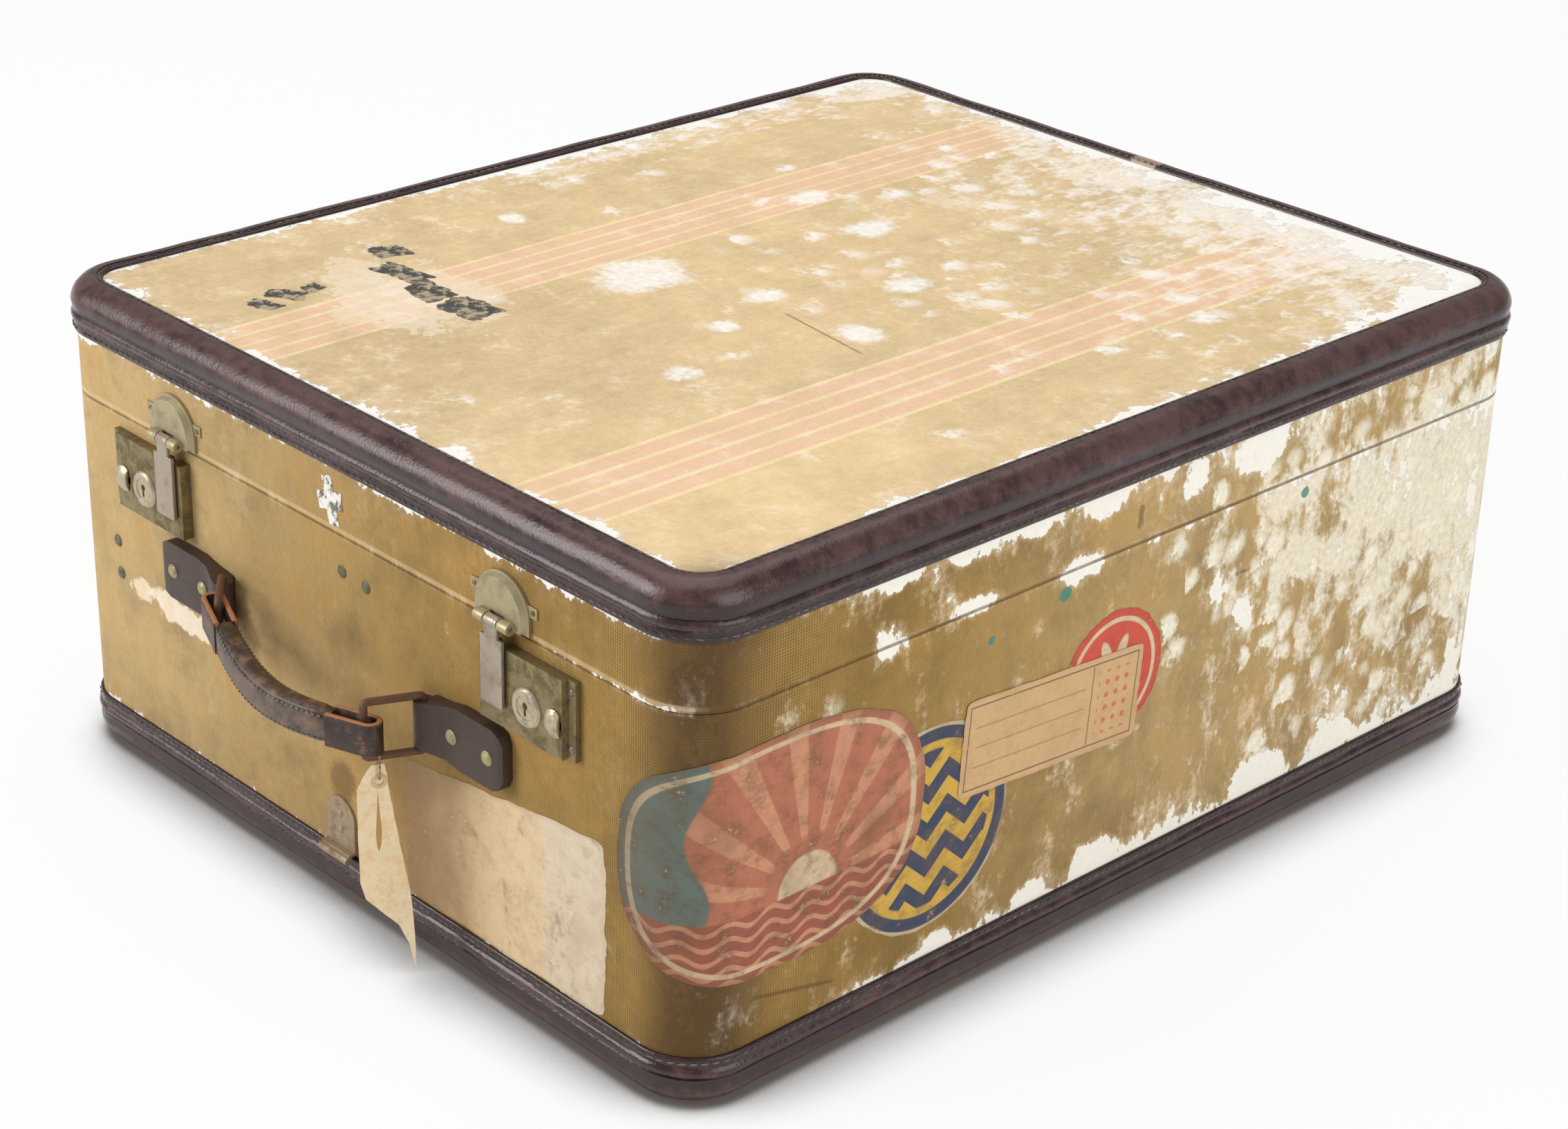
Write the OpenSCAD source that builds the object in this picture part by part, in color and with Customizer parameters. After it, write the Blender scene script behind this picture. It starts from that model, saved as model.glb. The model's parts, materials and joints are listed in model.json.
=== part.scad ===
// Vintage canvas suitcase with leather bindings, two hasp locks, a strap handle and a luggage tag.
// Millimetres. X runs along the handle side, Y from the handle to the hinges, Z up.

/* [Case] */
// Width across the handle side, over the bindings
case_w = 440; // [380:1:520]
// Depth from the handle side to the hinge side, over the bindings
case_d = 522; // [440:1:600]
// Height when closed
case_h = 230; // [210:1:260]
// Height of the lid above the parting line
lid_h = 54; // [50:1:66]
// Plan radius of the vertical corners, over the bindings
corner_r = 29; // [26:1:36]
// Rounding between the sides and the top or bottom, over the bindings
edge_r = 11; // [10:0.5:12]
// Gap at the parting line
seam_gap = 0.4; // [0.3:0.1:0.8]

/* [Layers] */
// Leather binding thickness
binding_t = 2; // [1.6:0.1:2.4]
// Height of the binding on the sides
binding_side = 24; // [20:0.5:26]
// Width of the binding on the top and bottom
binding_flat = 15; // [13:0.5:16]
// Canvas covering thickness
canvas_t = 1; // [0.8:0.1:1.2]
// Fibreboard wall thickness
wall_t = 4; // [3:0.1:4.2]
// Paper lining thickness
lining_t = 0.8; // [0.6:0.1:1]
// Glue line between layers
glue_t = 0.2; // [0.15:0.05:0.25]
// Thickness of the lip inside the base
lip_t = 3; // [2.5:0.1:4]
// How far the lip stands above the parting line
lip_rise = 10; // [8:0.5:12]
// How far the lip reaches down inside the base
lip_drop = 26; // [20:1:40]

/* [Latches] */
// Middle of the handle and latches along X
hardware_x = -7; // [-12:0.5:0]
// Hasp distance from that middle
hasp_x = 115; // [108:0.5:125]
// Lock plate length
lock_w = 56; // [54:0.5:60]
// Lock plate height
lock_h = 35; // [33:0.5:37]
// Lock case depth
lock_t = 5.4; // [5.2:0.1:6]
// Lock case sheet thickness
lock_sheet = 0.8; // [0.6:0.1:1]
// Hasp tongue width
tongue_w = 13.5; // [13:0.1:15]
// Hasp tongue length below its pin
tongue_l = 36; // [35:0.5:38]
// Hasp tongue thickness
tongue_t = 1.8; // [1.5:0.1:2.2]
// Hasp pin radius
hasp_pin_r = 1; // [0.9:0.05:1.1]
// Hasp knuckle radius
hasp_knuckle_r = 2.6; // [2.4:0.05:2.7]
// Running clearance of pins and lock barrels
run_gap = 0.05; // [0.03:0.01:0.08]
// Clearance between parts that pass each other
pass_gap = 0.5; // [0.4:0.05:0.6]
// Lock barrel radius
barrel_r = 5; // [4.6:0.1:5.4]
// Keyhole rosette radius
rosette_r = 8.8; // [8:0.1:9.2]
// Travel of the slide bolt
bolt_travel = 3; // [2.5:0.1:3.2]

/* [Handle] */
// Sideways shift of the handle from the middle between the locks
handle_shift = -2.5; // [-4:0.5:0]
// Handle tab length
tab_l = 51; // [46:0.5:56]
// Handle tab height at the riveted end
tab_h = 27.5; // [25:0.5:29]
// Handle tab height at the fold
fold_h = 21; // [19:0.5:22]
// Handle tab thickness
tab_t = 6; // [5:0.5:7]
// Link wire radius
wire_r = 1.7; // [1.5:0.1:1.9]
// Link length from bar to bar
link_l = 25; // [24:0.5:26]
// Left link angle away from the case side
link_left_deg = 38; // [34:1:42]
// Right link angle away from the case side
link_right_deg = 66; // [62:1:70]
// Strap height
strap_h = 15; // [13:0.5:16]
// Leather thickness of the strap's end loops
loop_t = 2.6; // [2:0.1:3]
// Slack between a link bar and its loop
loop_slack = 1; // [0.9:0.05:1.2]
// How far the middle of the strap hangs below its ends
strap_sag = 3; // [1:0.2:6]

/* [Hinges] */
// Hinge distance from the middle
hinge_x = 120; // [90:1:140]
// Hinge leaf width
leaf_w = 40; // [36:0.5:48]
// Hinge leaf height
leaf_h = 25; // [22:0.5:27]
// Hinge leaf thickness
leaf_t = 1.5; // [1.3:0.1:1.7]
// Hinge knuckle radius
knuckle_r = 3.5; // [3.2:0.1:3.8]
// Hinge pin radius
hinge_pin_r = 1.5; // [1.3:0.1:1.6]
// Opening angle at which the stop lugs meet the leaves
open_deg = 105; // [95:1:110]

/* [Tag] */
// Tag width
tag_w = 21; // [18:0.5:24]
// Tag length
tag_l = 97; // [90:0.5:97]
// Tag thickness
tag_t = 0.6; // [0.5:0.1:0.8]
// String radius
string_r = 0.5; // [0.4:0.05:0.6]
// String length between the link and the tag
string_l = 8; // [7:0.5:9]

/* [Hidden] */
$fn = 72;

// Heights of the parting line, base below it and lid above it
seam_z = case_h - lid_h;
lid_z = seam_z + seam_gap;

// Insets of the layers from the outside of the bindings
in_canvas = binding_t;
in_wall = in_canvas + canvas_t + glue_t;
in_lining = in_wall + wall_t + glue_t;
in_lip = in_lining + lining_t + glue_t;
flat_r = corner_r - edge_r;
flange_r = flat_r - 2;

// Front and back canvas faces
front_y = -case_d / 2 + in_canvas;
back_y = case_d / 2 - in_canvas;

// Lock case: everything is measured outwards from hardware_x and forwards from the canvas
lock_x0 = hasp_x - 10;
lock_x1 = lock_x0 + lock_w;
pin_z = seam_z + 4.4;
pin_p = 5.7;
lock_z1 = seam_z - 5.6;
lock_z0 = lock_z1 - lock_h;
lock_step = 5;
rosette_x = lock_x0 + 29.5;
rosette_z = lock_z1 - 20.4;
button_x = lock_x1 - lock_step - 4.8;
bolt_z = lock_z1 - 10.4;
bolt_hh = 1.5;
bolt_p0 = 1.6;
bolt_p1 = 3.2;
staple_hw = 2.5;
staple_hh = 4;
eye_gap = 0.3;
tongue_p = lock_t + pass_gap;
hasp_knuckle_hw = 4;
neck_l = 6.4;
leg_x0 = hasp_knuckle_hw + 0.5;
leg_x1 = leg_x0 + 6;
leg_x = (leg_x0 + leg_x1) / 2;
leg_hw = (leg_x1 - leg_x0) / 2;

// Lid plate of the hasp
plate_z0 = seam_z + 2;
plate_z1 = case_h - binding_side - 5.5;
plate_r = min(16.5, plate_z1 - plate_z0 - 4);
plate_t = 1.6;
plate_dome_t = 4;

// Handle
handle_x = hardware_x + handle_shift;
tab_z = lock_z0 - 4.4 - tab_h / 2;
bar_x = hasp_x + 6 - tab_l + 2;
bar_p = wire_r + 4.8;
fold_r = wire_r + 2.9;
link_hz = fold_h / 2 + 0.5 + wire_r;
bend_r = wire_r + 0.3;
slot_hw = wire_r + loop_slack;
strap_t = 2 * (slot_hw + loop_t);
loop_in = 11;
loop_solid = 3.5;
loop_left_out = 12.5;
loop_right_out = 5.8;
loop_left_deg = 22;
loop_right_deg = 20;
strap_left_z = tab_z + 3;
strap_right_z = tab_z - 1.7;
bar_left = [-bar_x + link_l * cos(link_left_deg), bar_p + link_l * sin(link_left_deg)];
bar_right = [bar_x - link_l * cos(link_right_deg), bar_p + link_l * sin(link_right_deg)];
dir_left = [cos(loop_left_deg), sin(loop_left_deg)];
dir_right = [-cos(loop_right_deg), sin(loop_right_deg)];
grip_a = bar_left + (loop_in + loop_solid) * dir_left;
grip_d = bar_right + (loop_in + loop_solid) * dir_right;
grip_pull = norm(grip_d - grip_a) / 3;
grip_b = grip_a + grip_pull * dir_left;
grip_c = grip_d + grip_pull * dir_right;
grip_n = 24;
section_n = 20;

// A point of the grip's middle line in plan, and its direction there
function grip_at(u) =
  pow(1 - u, 3) * grip_a + 3 * pow(1 - u, 2) * u * grip_b + 3 * (1 - u) * u * u * grip_c + pow(u, 3) * grip_d;
function grip_run(u) =
  let (v = 3 * pow(1 - u, 2) * (grip_b - grip_a) + 6 * (1 - u) * u * (grip_c - grip_b) + 3 * u * u * (grip_d - grip_c))
  v / norm(v);
function grip_z(u) =
  strap_left_z + (strap_right_z - strap_left_z) * u - strap_sag * pow(1 - pow(2 * u - 1, 2), 2);
function soft(v) = sign(v) * pow(abs(v), 0.45);
// One point of the grip's surface: u along the strap, a round the section
function grip_point(u, a) =
  let (c = grip_at(u), t = grip_run(u), o = soft(cos(a)) * strap_t / 2, h = soft(sin(a)) * strap_h / 2)
  [c[0] - t[1] * o, c[1] + t[0] * o, grip_z(u) + h];
grip_points = [for (i = [0 : grip_n]) for (k = [0 : section_n - 1]) grip_point(i / grip_n, 360 * k / section_n)];

// Hinges
hinge_y = back_y + knuckle_r + 0.3;
hinge_z = seam_z + seam_gap / 2;
hinge_hw = 5;
lug_r = 8;
lug_t = 2.5;

// Plan middle of everything, so that the origin lies under it
front_reach = max([for (q = grip_points) q[1]]) - binding_t;
rear_reach = hinge_y + lug_r * sin(open_deg) - (knuckle_r - leaf_t) * cos(open_deg) - case_d / 2;
y_shift = (front_reach - rear_reach) / 2;

// Tag hanging from the lower bar of the right link
tag_along = 0.78;
tag_at = [bar_x, bar_p] + tag_along * link_l * [-cos(link_right_deg), sin(link_right_deg)];
tag_bar_z = tab_z - link_hz;
string_bend = wire_r + string_r + 0.15;
tag_hole_r = 1.8;
tag_hole_z = -string_l - string_bend - tag_hole_r + string_r + 0.15;

module put() translate([0, y_shift, 0]) children();

// Sweeps a profile round a rounded rectangle: x is measured from the corner centres, y is height
module rim() {
  lx = case_w - 2 * corner_r;
  ly = case_d - 2 * corner_r;
  for (k = [0 : 3])
    rotate([0, 0, 90 * k]) {
      translate([(k % 2 == 0 ? lx : ly) / 2, 0, 0])
        rotate([90, 0, 0])
          linear_extrude(height = k % 2 == 0 ? ly : lx, center = true)
            children();
      translate([(k % 2 == 0 ? lx : ly) / 2, (k % 2 == 0 ? ly : lx) / 2, 0])
        rotate_extrude(angle = 90)
          children();
    }
}

// Flat slab whose corners have radius r about the corner centres
module slab(r, z0, z1) {
  lx = case_w - 2 * corner_r;
  ly = case_d - 2 * corner_r;
  rim()
    translate([0, z0])
      square([r, z1 - z0]);
  translate([-lx / 2, -ly / 2, z0])
    cube([lx, ly, z1 - z0]);
}

// Region inside a layer's outer face, from height z0 to the top
module quarter(inset, x0, z0) {
  translate([x0, z0])
    square([flat_r - x0, case_h - inset - z0]);
  translate([x0, z0])
    square([corner_r - inset - x0, case_h - edge_r - z0]);
  translate([flat_r, case_h - edge_r])
    circle(r = edge_r - inset);
}

// Section of one layer of the lid, outwards of x0 and above z0
module layer(inset, t, x0, z0) {
  intersection() {
    difference() {
      quarter(inset, 0, z0 - 2);
      quarter(inset + t, 0, z0 - 3);
    }
    translate([x0, z0])
      square([corner_r - x0, case_h - z0]);
  }
}

// The base layers are the lid layers upside down
module flip() {
  translate([0, case_h])
    mirror([0, 1])
      children();
}

// Everything inside a layer's outer face, above height z0
module block(inset, z0) {
  lx = case_w - 2 * corner_r;
  ly = case_d - 2 * corner_r;
  rim()
    quarter(inset, 0, z0);
  translate([-lx / 2, -ly / 2, z0])
    cube([lx, ly, case_h - inset - z0]);
}

// A cover has a side, a rounded edge and a flat sheet
module lid_cover(inset, t, z0) {
  difference() {
    block(inset, z0);
    block(inset + t, z0 - 1);
  }
}

module base_cover(inset, t) {
  translate([0, 0, case_h])
    mirror([0, 0, 1])
      lid_cover(inset, t, lid_h);
}

// Box and cylinders placed by x, height p in front of the canvas, and z
module fbox(x0, x1, p0, p1, z0, z1) {
  translate([x0, front_y - p1, z0])
    cube([x1 - x0, p1 - p0, z1 - z0]);
}

module fcyl(x, z, p0, p1, r0, r1) {
  translate([x, front_y - p0, z])
    rotate([90, 0, 0])
      cylinder(h = p1 - p0, r1 = r0, r2 = r1);
}

module xcyl(x0, x1, p, z, r) {
  translate([x0, front_y - p, z])
    rotate([0, 90, 0])
      cylinder(h = x1 - x0, r = r);
}

module zcyl(x, p, z0, z1, r) {
  translate([x, front_y - p, z0])
    cylinder(h = z1 - z0, r = r);
}

// Places a right-hand latch or tab, or its mirror image on the left
module side(s) {
  translate([hardware_x, 0, 0])
    if (s > 0)
      children();
    else
      mirror([1, 0, 0])
        children();
}

// The same for the pieces of the handle
module handle_side(s) translate([handle_shift, 0, 0]) side(s) children();

// Rivet with a domed head on a sheet from p0 to p1
module rivet(x, z, p0, p1, r) {
  fcyl(x, z, p0, p1, r / 2, r / 2);
  fcyl(x, z, p1, p1 + 0.35 * r, r, 0.55 * r);
}

module rivet_hole(x, z, p0, p1, r) fcyl(x, z, p0 - 1, p1 + 1, r / 2 + 0.05, r / 2 + 0.05);

// Fibreboard floor
module base_board() color("tan") put() slab(flange_r - glue_t, in_wall, in_wall + wall_t);

// Fibreboard sides of the base
module base_band() color("tan") put() rim() flip() layer(in_wall, wall_t, flange_r, lid_h);

// Canvas over the base
module base_canvas() color("khaki") put() base_cover(in_canvas, canvas_t);

// Leather binding round the bottom edge
module base_binding() {
  color("saddlebrown") put() rim() flip()
    layer(0, binding_t, corner_r - binding_flat, case_h - binding_side);
}

// Paper lining of the base
module base_lining() color("beige") put() base_cover(in_lining, lining_t);

// Lip that the lid closes over: one strip of board along each straight side
module base_lip() {
  color("wheat") put()
    for (s = [-1, 1]) {
      translate([corner_r - case_w / 2, s * (case_d / 2 - in_lip - lip_t / 2) - lip_t / 2, seam_z - lip_drop])
        cube([case_w - 2 * corner_r, lip_t, lip_drop + lip_rise]);
      translate([s * (case_w / 2 - in_lip - lip_t / 2) - lip_t / 2, corner_r - case_d / 2, seam_z - lip_drop])
        cube([lip_t, case_d - 2 * corner_r, lip_drop + lip_rise]);
    }
}

// Fibreboard top
module lid_board() color("tan") put() slab(flange_r - glue_t, case_h - in_wall - wall_t, case_h - in_wall);

// Fibreboard sides of the lid
module lid_band() color("tan") put() rim() layer(in_wall, wall_t, flange_r, lid_z);

// Canvas over the lid
module lid_canvas() color("khaki") put() lid_cover(in_canvas, canvas_t, lid_z);

// Leather binding round the top edge
module lid_binding() {
  color("saddlebrown") put() rim()
    layer(0, binding_t, corner_r - binding_flat, case_h - binding_side);
}

// Paper lining of the lid, which stops above the lip
module lid_lining() color("beige") put() lid_cover(in_lining, lining_t, seam_z + lip_rise + 2);

lock_rivet_zs = [lock_z0 + 5, lock_z1 - 5];
lock_rivet_x = lock_x1 - 2.4;

// Lock case, open at the back, with a slot for the hasp's staple that runs out at the top
module lock_plate_shape() {
  difference() {
    union() {
      fbox(lock_x0, lock_x1 - lock_step, 0, lock_t, lock_z0, lock_z1);
      fbox(lock_x1 - lock_step, lock_x1, 0, lock_t / 2, lock_z0, lock_z1);
    }
    fbox(lock_x0 + lock_sheet, lock_x1 - lock_step - lock_sheet, -1, lock_t - lock_sheet,
      lock_z0 + lock_sheet, lock_z1 - lock_sheet);
    fbox(hasp_x - staple_hw - pass_gap, hasp_x + staple_hw + pass_gap, -1, lock_t + 1,
      bolt_z - staple_hh - 1.5, lock_z1 + 1);
    fcyl(rosette_x, rosette_z, lock_t - 3, lock_t + 1, barrel_r + run_gap, barrel_r + run_gap);
    fbox(button_x - bolt_travel - 2, button_x + 4.4, lock_t - 3, lock_t + 1, rosette_z - 1.8, rosette_z + 1.8);
    for (z = lock_rivet_zs) rivet_hole(lock_rivet_x, z, 0, lock_t / 2, 1.8);
  }
}

module lock_plate_left() color("darkkhaki") put() side(-1) lock_plate_shape();
module lock_plate_right() color("darkkhaki") put() side(1) lock_plate_shape();

// Raised ring round the keyhole
module lock_rosette_shape() {
  difference() {
    fcyl(rosette_x, rosette_z, lock_t, lock_t + 1.3, rosette_r, rosette_r - 1.2);
    fcyl(rosette_x, rosette_z, lock_t - 1, lock_t + 2, barrel_r + run_gap, barrel_r + run_gap);
  }
}

module lock_rosette_left() color("khaki") put() side(-1) lock_rosette_shape();
module lock_rosette_right() color("khaki") put() side(1) lock_rosette_shape();

// Turning barrel with its keyhole and a flange behind the sheet
module lock_barrel_shape() {
  flange_p = lock_t - lock_sheet - 0.2;
  difference() {
    union() {
      fcyl(rosette_x, rosette_z, flange_p - 0.7, lock_t + 0.9, barrel_r, barrel_r);
      fcyl(rosette_x, rosette_z, flange_p - 0.7, flange_p, barrel_r + 1.2, barrel_r + 1.2);
    }
    fcyl(rosette_x, rosette_z + 1, lock_t - 1, lock_t + 2, 1.5, 1.5);
    fbox(rosette_x - 0.7, rosette_x + 0.7, lock_t - 1, lock_t + 2, rosette_z - 3.4, rosette_z + 1);
  }
}

module lock_barrel_left() color("dimgray") put() side(-1) lock_barrel_shape();
module lock_barrel_right() color("dimgray") put() side(1) lock_barrel_shape();

// Slide bolt, drawn back, with the stem of its button
module lock_bolt_shape() {
  fbox(hasp_x + staple_hw + 0.7, button_x + 2, bolt_p0, bolt_p1, bolt_z - bolt_hh, bolt_z + bolt_hh);
  fbox(button_x - 2.5, button_x + 2, bolt_p0, bolt_p1, rosette_z - 2, bolt_z + bolt_hh);
  fcyl(button_x, rosette_z, bolt_p1 - 0.5, lock_t + 0.3, 1.5, 1.5);
}

module lock_bolt_left() color("silver") put() side(-1) lock_bolt_shape();
module lock_bolt_right() color("silver") put() side(1) lock_bolt_shape();

// Oval thumb button with a domed face
module lock_button_shape() {
  intersection() {
    fbox(button_x - 3.8, button_x + 3.8, lock_t + 0.3, lock_t + 2.6, rosette_z - 6.2, rosette_z + 6.2);
    fcyl(button_x, rosette_z, lock_t, lock_t + 3, 6.2, 6.2);
    translate([button_x, front_y - lock_t + 7.4, rosette_z])
      sphere(r = 10);
  }
}

module lock_button_left() color("khaki") put() side(-1) lock_button_shape();
module lock_button_right() color("khaki") put() side(1) lock_button_shape();

// Rivets at the outer ends of the lock cases
module lock_rivets() {
  color("gray") put()
    for (s = [-1, 1])
      side(s)
        for (z = lock_rivet_zs)
          rivet(lock_rivet_x, z, 0, lock_t / 2, 1.8);
}

plate_ear_z = plate_z1 - plate_r + 5;
plate_ear_x = plate_r - 0.5;
plate_ear_hw = 4.5;
plate_rivet_x = plate_r + 1.8;

// Rounded plate on the lid with a raised face and two knuckles for the hasp
module hasp_plate_shape() {
  difference() {
    union() {
      fbox(hasp_x - plate_r, hasp_x + plate_r, 0, plate_t, plate_z0, plate_z1 - plate_r);
      intersection() {
        fcyl(hasp_x, plate_z1 - plate_r, 0, plate_t, plate_r, plate_r);
        fbox(hasp_x - plate_r - 1, hasp_x + plate_r + 1, -1, plate_t + 1, plate_z1 - plate_r, plate_z1 + 1);
      }
      intersection() {
        fcyl(hasp_x, plate_z1 - plate_r, plate_t - 0.5, plate_dome_t, plate_r - 0.6, plate_r - 2.2);
        fbox(hasp_x - plate_r, hasp_x + plate_r, 0, plate_t + 5, plate_z0 + 1, plate_z1);
      }
      for (m = [-1, 1]) {
        fbox(hasp_x + m * plate_ear_x - plate_ear_hw, hasp_x + m * plate_ear_x + plate_ear_hw, 0, plate_t / 2,
          plate_ear_z - 2.4, plate_ear_z + 2.4);
        fbox(hasp_x + m * leg_x - leg_hw, hasp_x + m * leg_x + leg_hw, 1, pin_p - 0.5, pin_z - 1.8, pin_z + 1.8);
        xcyl(hasp_x + m * leg_x - leg_hw, hasp_x + m * leg_x + leg_hw, pin_p, pin_z, hasp_knuckle_r);
      }
    }
    xcyl(hasp_x - 20, hasp_x + 20, pin_p, pin_z, hasp_pin_r + run_gap);
    fbox(hasp_x - leg_x0, hasp_x + leg_x0, pin_p - hasp_knuckle_r - pass_gap, pin_p + 2 * hasp_knuckle_r,
      plate_z0 - 1, pin_z + hasp_knuckle_r + pass_gap);
    for (m = [-1, 1]) rivet_hole(hasp_x + m * plate_rivet_x, plate_ear_z, 0, plate_t / 2, 1.4);
  }
}

module hasp_plate_left() color("darkkhaki") put() side(-1) hasp_plate_shape();
module hasp_plate_right() color("darkkhaki") put() side(1) hasp_plate_shape();

module hasp_pin_left() color("gray") put() side(-1) xcyl(hasp_x - leg_x1, hasp_x + leg_x1, pin_p, pin_z, hasp_pin_r);
module hasp_pin_right() color("gray") put() side(1) xcyl(hasp_x - leg_x1, hasp_x + leg_x1, pin_p, pin_z, hasp_pin_r);

// Hasp tongue with its knuckle and the staple that the bolt passes through
module hasp_shape() {
  difference() {
    union() {
      xcyl(hasp_x - hasp_knuckle_hw, hasp_x + hasp_knuckle_hw, pin_p, pin_z, hasp_knuckle_r);
      fbox(hasp_x - hasp_knuckle_hw, hasp_x + hasp_knuckle_hw, tongue_p, tongue_p + tongue_t,
        pin_z - neck_l - 0.5, pin_z);
      fbox(hasp_x - tongue_w / 2, hasp_x + tongue_w / 2, tongue_p, tongue_p + tongue_t,
        pin_z - tongue_l, pin_z - neck_l);
      fbox(hasp_x - staple_hw, hasp_x + staple_hw, 0.5, tongue_p + 0.5,
        bolt_z - staple_hh, bolt_z + staple_hh);
    }
    xcyl(hasp_x - 20, hasp_x + 20, pin_p, pin_z, hasp_pin_r + run_gap);
    fbox(hasp_x - 9, hasp_x + 9, bolt_p0 - eye_gap, bolt_p1 + eye_gap,
      bolt_z - bolt_hh - 2 * eye_gap, bolt_z + bolt_hh + 2 * eye_gap);
  }
}

module hasp_left() color("silver") put() side(-1) hasp_shape();
module hasp_right() color("silver") put() side(1) hasp_shape();

// Small rivets in the ears of the hasp plates
module hasp_plate_rivets() {
  color("gray") put()
    for (s = [-1, 1])
      side(s)
        for (m = [-1, 1])
          rivet(hasp_x + m * plate_rivet_x, plate_ear_z, 0, plate_t / 2, 1.4);
}

tab_rivet_xs = [bar_x + 17, bar_x + 40];

// Leather tab folded round the link's inner bar
module handle_tab_shape() {
  end_r = 6;
  difference() {
    union() {
      intersection() {
        translate([0, front_y, tab_z - tab_h])
          linear_extrude(height = 2 * tab_h)
            polygon([[bar_x, 0], [bar_x + tab_l - 2, 0], [bar_x + tab_l - 2, -tab_t + 1], [bar_x + tab_l - 4, -tab_t],
              [bar_x + 13, -tab_t], [bar_x + 0.4 * fold_r, -bar_p - 0.917 * fold_r], [bar_x, -bar_p - 0.9 * fold_r]]);
        translate([0, front_y + 5, tab_z])
          rotate([90, 0, 0])
            linear_extrude(height = 40)
              polygon([[bar_x - 1, -fold_h / 2], [bar_x + 12, -fold_h / 2 - 1.5], [bar_x + 20, -tab_h / 2],
                [bar_x + tab_l - 2 - end_r, -tab_h / 2], [bar_x + tab_l - 2 - 0.3 * end_r, -tab_h / 2 + 0.3 * end_r],
                [bar_x + tab_l - 2, -tab_h / 2 + end_r], [bar_x + tab_l - 2, tab_h / 2 - end_r],
                [bar_x + tab_l - 2 - 0.3 * end_r, tab_h / 2 - 0.3 * end_r], [bar_x + tab_l - 2 - end_r, tab_h / 2],
                [bar_x + 20, tab_h / 2], [bar_x + 12, fold_h / 2 + 1.5], [bar_x - 1, fold_h / 2]]);
      }
      zcyl(bar_x, bar_p, tab_z - fold_h / 2, tab_z + fold_h / 2, fold_r);
    }
    zcyl(bar_x, bar_p, tab_z - 40, tab_z + 40, wire_r + 2 * run_gap);
    for (x = tab_rivet_xs) rivet_hole(x, tab_z, 0, tab_t, 3.6);
  }
}

module handle_tab_left() color("dimgray") put() handle_side(-1) handle_tab_shape();
module handle_tab_right() color("dimgray") put() handle_side(1) handle_tab_shape();

// Brass rivets through the tabs
module handle_tab_rivets() {
  color("darkkhaki") put()
    for (s = [-1, 1])
      handle_side(s)
        for (x = tab_rivet_xs)
          rivet(x, tab_z, 0, tab_t, 3.6);
}

// Rectangular wire link standing at an angle from its inner bar
module handle_link_shape(deg) {
  hz = link_hz - bend_r;
  translate([bar_x, front_y - bar_p, tab_z])
    rotate([0, 0, 180 + deg]) {
      for (x = [0, link_l])
        translate([x, 0, -hz])
          cylinder(h = 2 * hz, r = wire_r);
      for (z = [-link_hz, link_hz])
        translate([bend_r, 0, z])
          rotate([0, 90, 0])
            cylinder(h = link_l - 2 * bend_r, r = wire_r);
      for (x = [0, 1])
        for (z = [0, 1])
          translate([x * link_l + (1 - 2 * x) * bend_r, 0, (2 * z - 1) * hz])
            rotate([90, 0, 0])
              rotate([0, 0, x == 1 ? (z == 1 ? 0 : 270) : (z == 1 ? 90 : 180)])
                rotate_extrude(angle = 90)
                  translate([bend_r, 0])
                    circle(r = wire_r);
    }
}

module handle_link_left() color("sienna") put() handle_side(-1) handle_link_shape(link_left_deg);
module handle_link_right() color("sienna") put() handle_side(1) handle_link_shape(link_right_deg);

// Leather loop at one end of the strap: out is towards the link, in towards the grip
module handle_loop_shape(out) {
  difference() {
    union() {
      translate([-loop_in - loop_solid, -strap_t / 2, -strap_h / 2])
        cube([loop_in + loop_solid + out - slot_hw, strap_t, strap_h]);
      translate([out - slot_hw, 0, -strap_h / 2])
        cylinder(h = strap_h, r = strap_t / 2);
    }
    translate([-loop_in, -slot_hw, -strap_h])
      cube([loop_in + out - slot_hw, 2 * slot_hw, 2 * strap_h]);
    translate([out - slot_hw, 0, -strap_h])
      cylinder(h = 2 * strap_h, r = slot_hw);
  }
}

module handle_loop_left() {
  color("saddlebrown") put()
    translate([handle_x + bar_left[0], front_y - bar_left[1], strap_left_z])
      rotate([0, 0, 180 - loop_left_deg])
        handle_loop_shape(loop_left_out);
}

module handle_loop_right() {
  color("saddlebrown") put()
    translate([handle_x + bar_right[0], front_y - bar_right[1], strap_right_z])
      rotate([0, 0, loop_right_deg])
        handle_loop_shape(loop_right_out);
}

// Padded strap between the loops, bowed forwards and hanging a little
module handle_grip() {
  n = section_n;
  points = [for (q = grip_points) [handle_x + q[0], front_y - q[1], q[2]]];
  first = [for (k = [0 : n - 1]) k];
  last = [for (k = [n - 1 : -1 : 0]) grip_n * n + k];
  walls = [for (i = [0 : grip_n - 1]) for (k = [0 : n - 1])
    each let (a = i * n + k, b = i * n + (k + 1) % n)
      [[a, a + n, b], [b, a + n, b + n]]];
  color("saddlebrown") put()
    polyhedron(points = points, faces = concat([first], walls, [last]));
}

// Hinge leaf and knuckles, drawn for a hinge in the middle of the back
module leaf_plate(z0, z1) {
  translate([-leaf_w / 2, back_y, z0])
    cube([leaf_w, leaf_t, z1 - z0]);
}

module hinge_tube(x0, x1, r) {
  translate([x0, hinge_y, hinge_z])
    rotate([0, 90, 0])
      cylinder(h = x1 - x0, r = r);
}

hinge_rivet_x = leaf_w / 2 - 6;
leaf_clear = knuckle_r + 0.5;

module hinge_rivet_place(z) {
  for (x = [-hinge_rivet_x, hinge_rivet_x])
    translate([x, back_y, z])
      rotate([-90, 0, 0])
        children();
}

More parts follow.
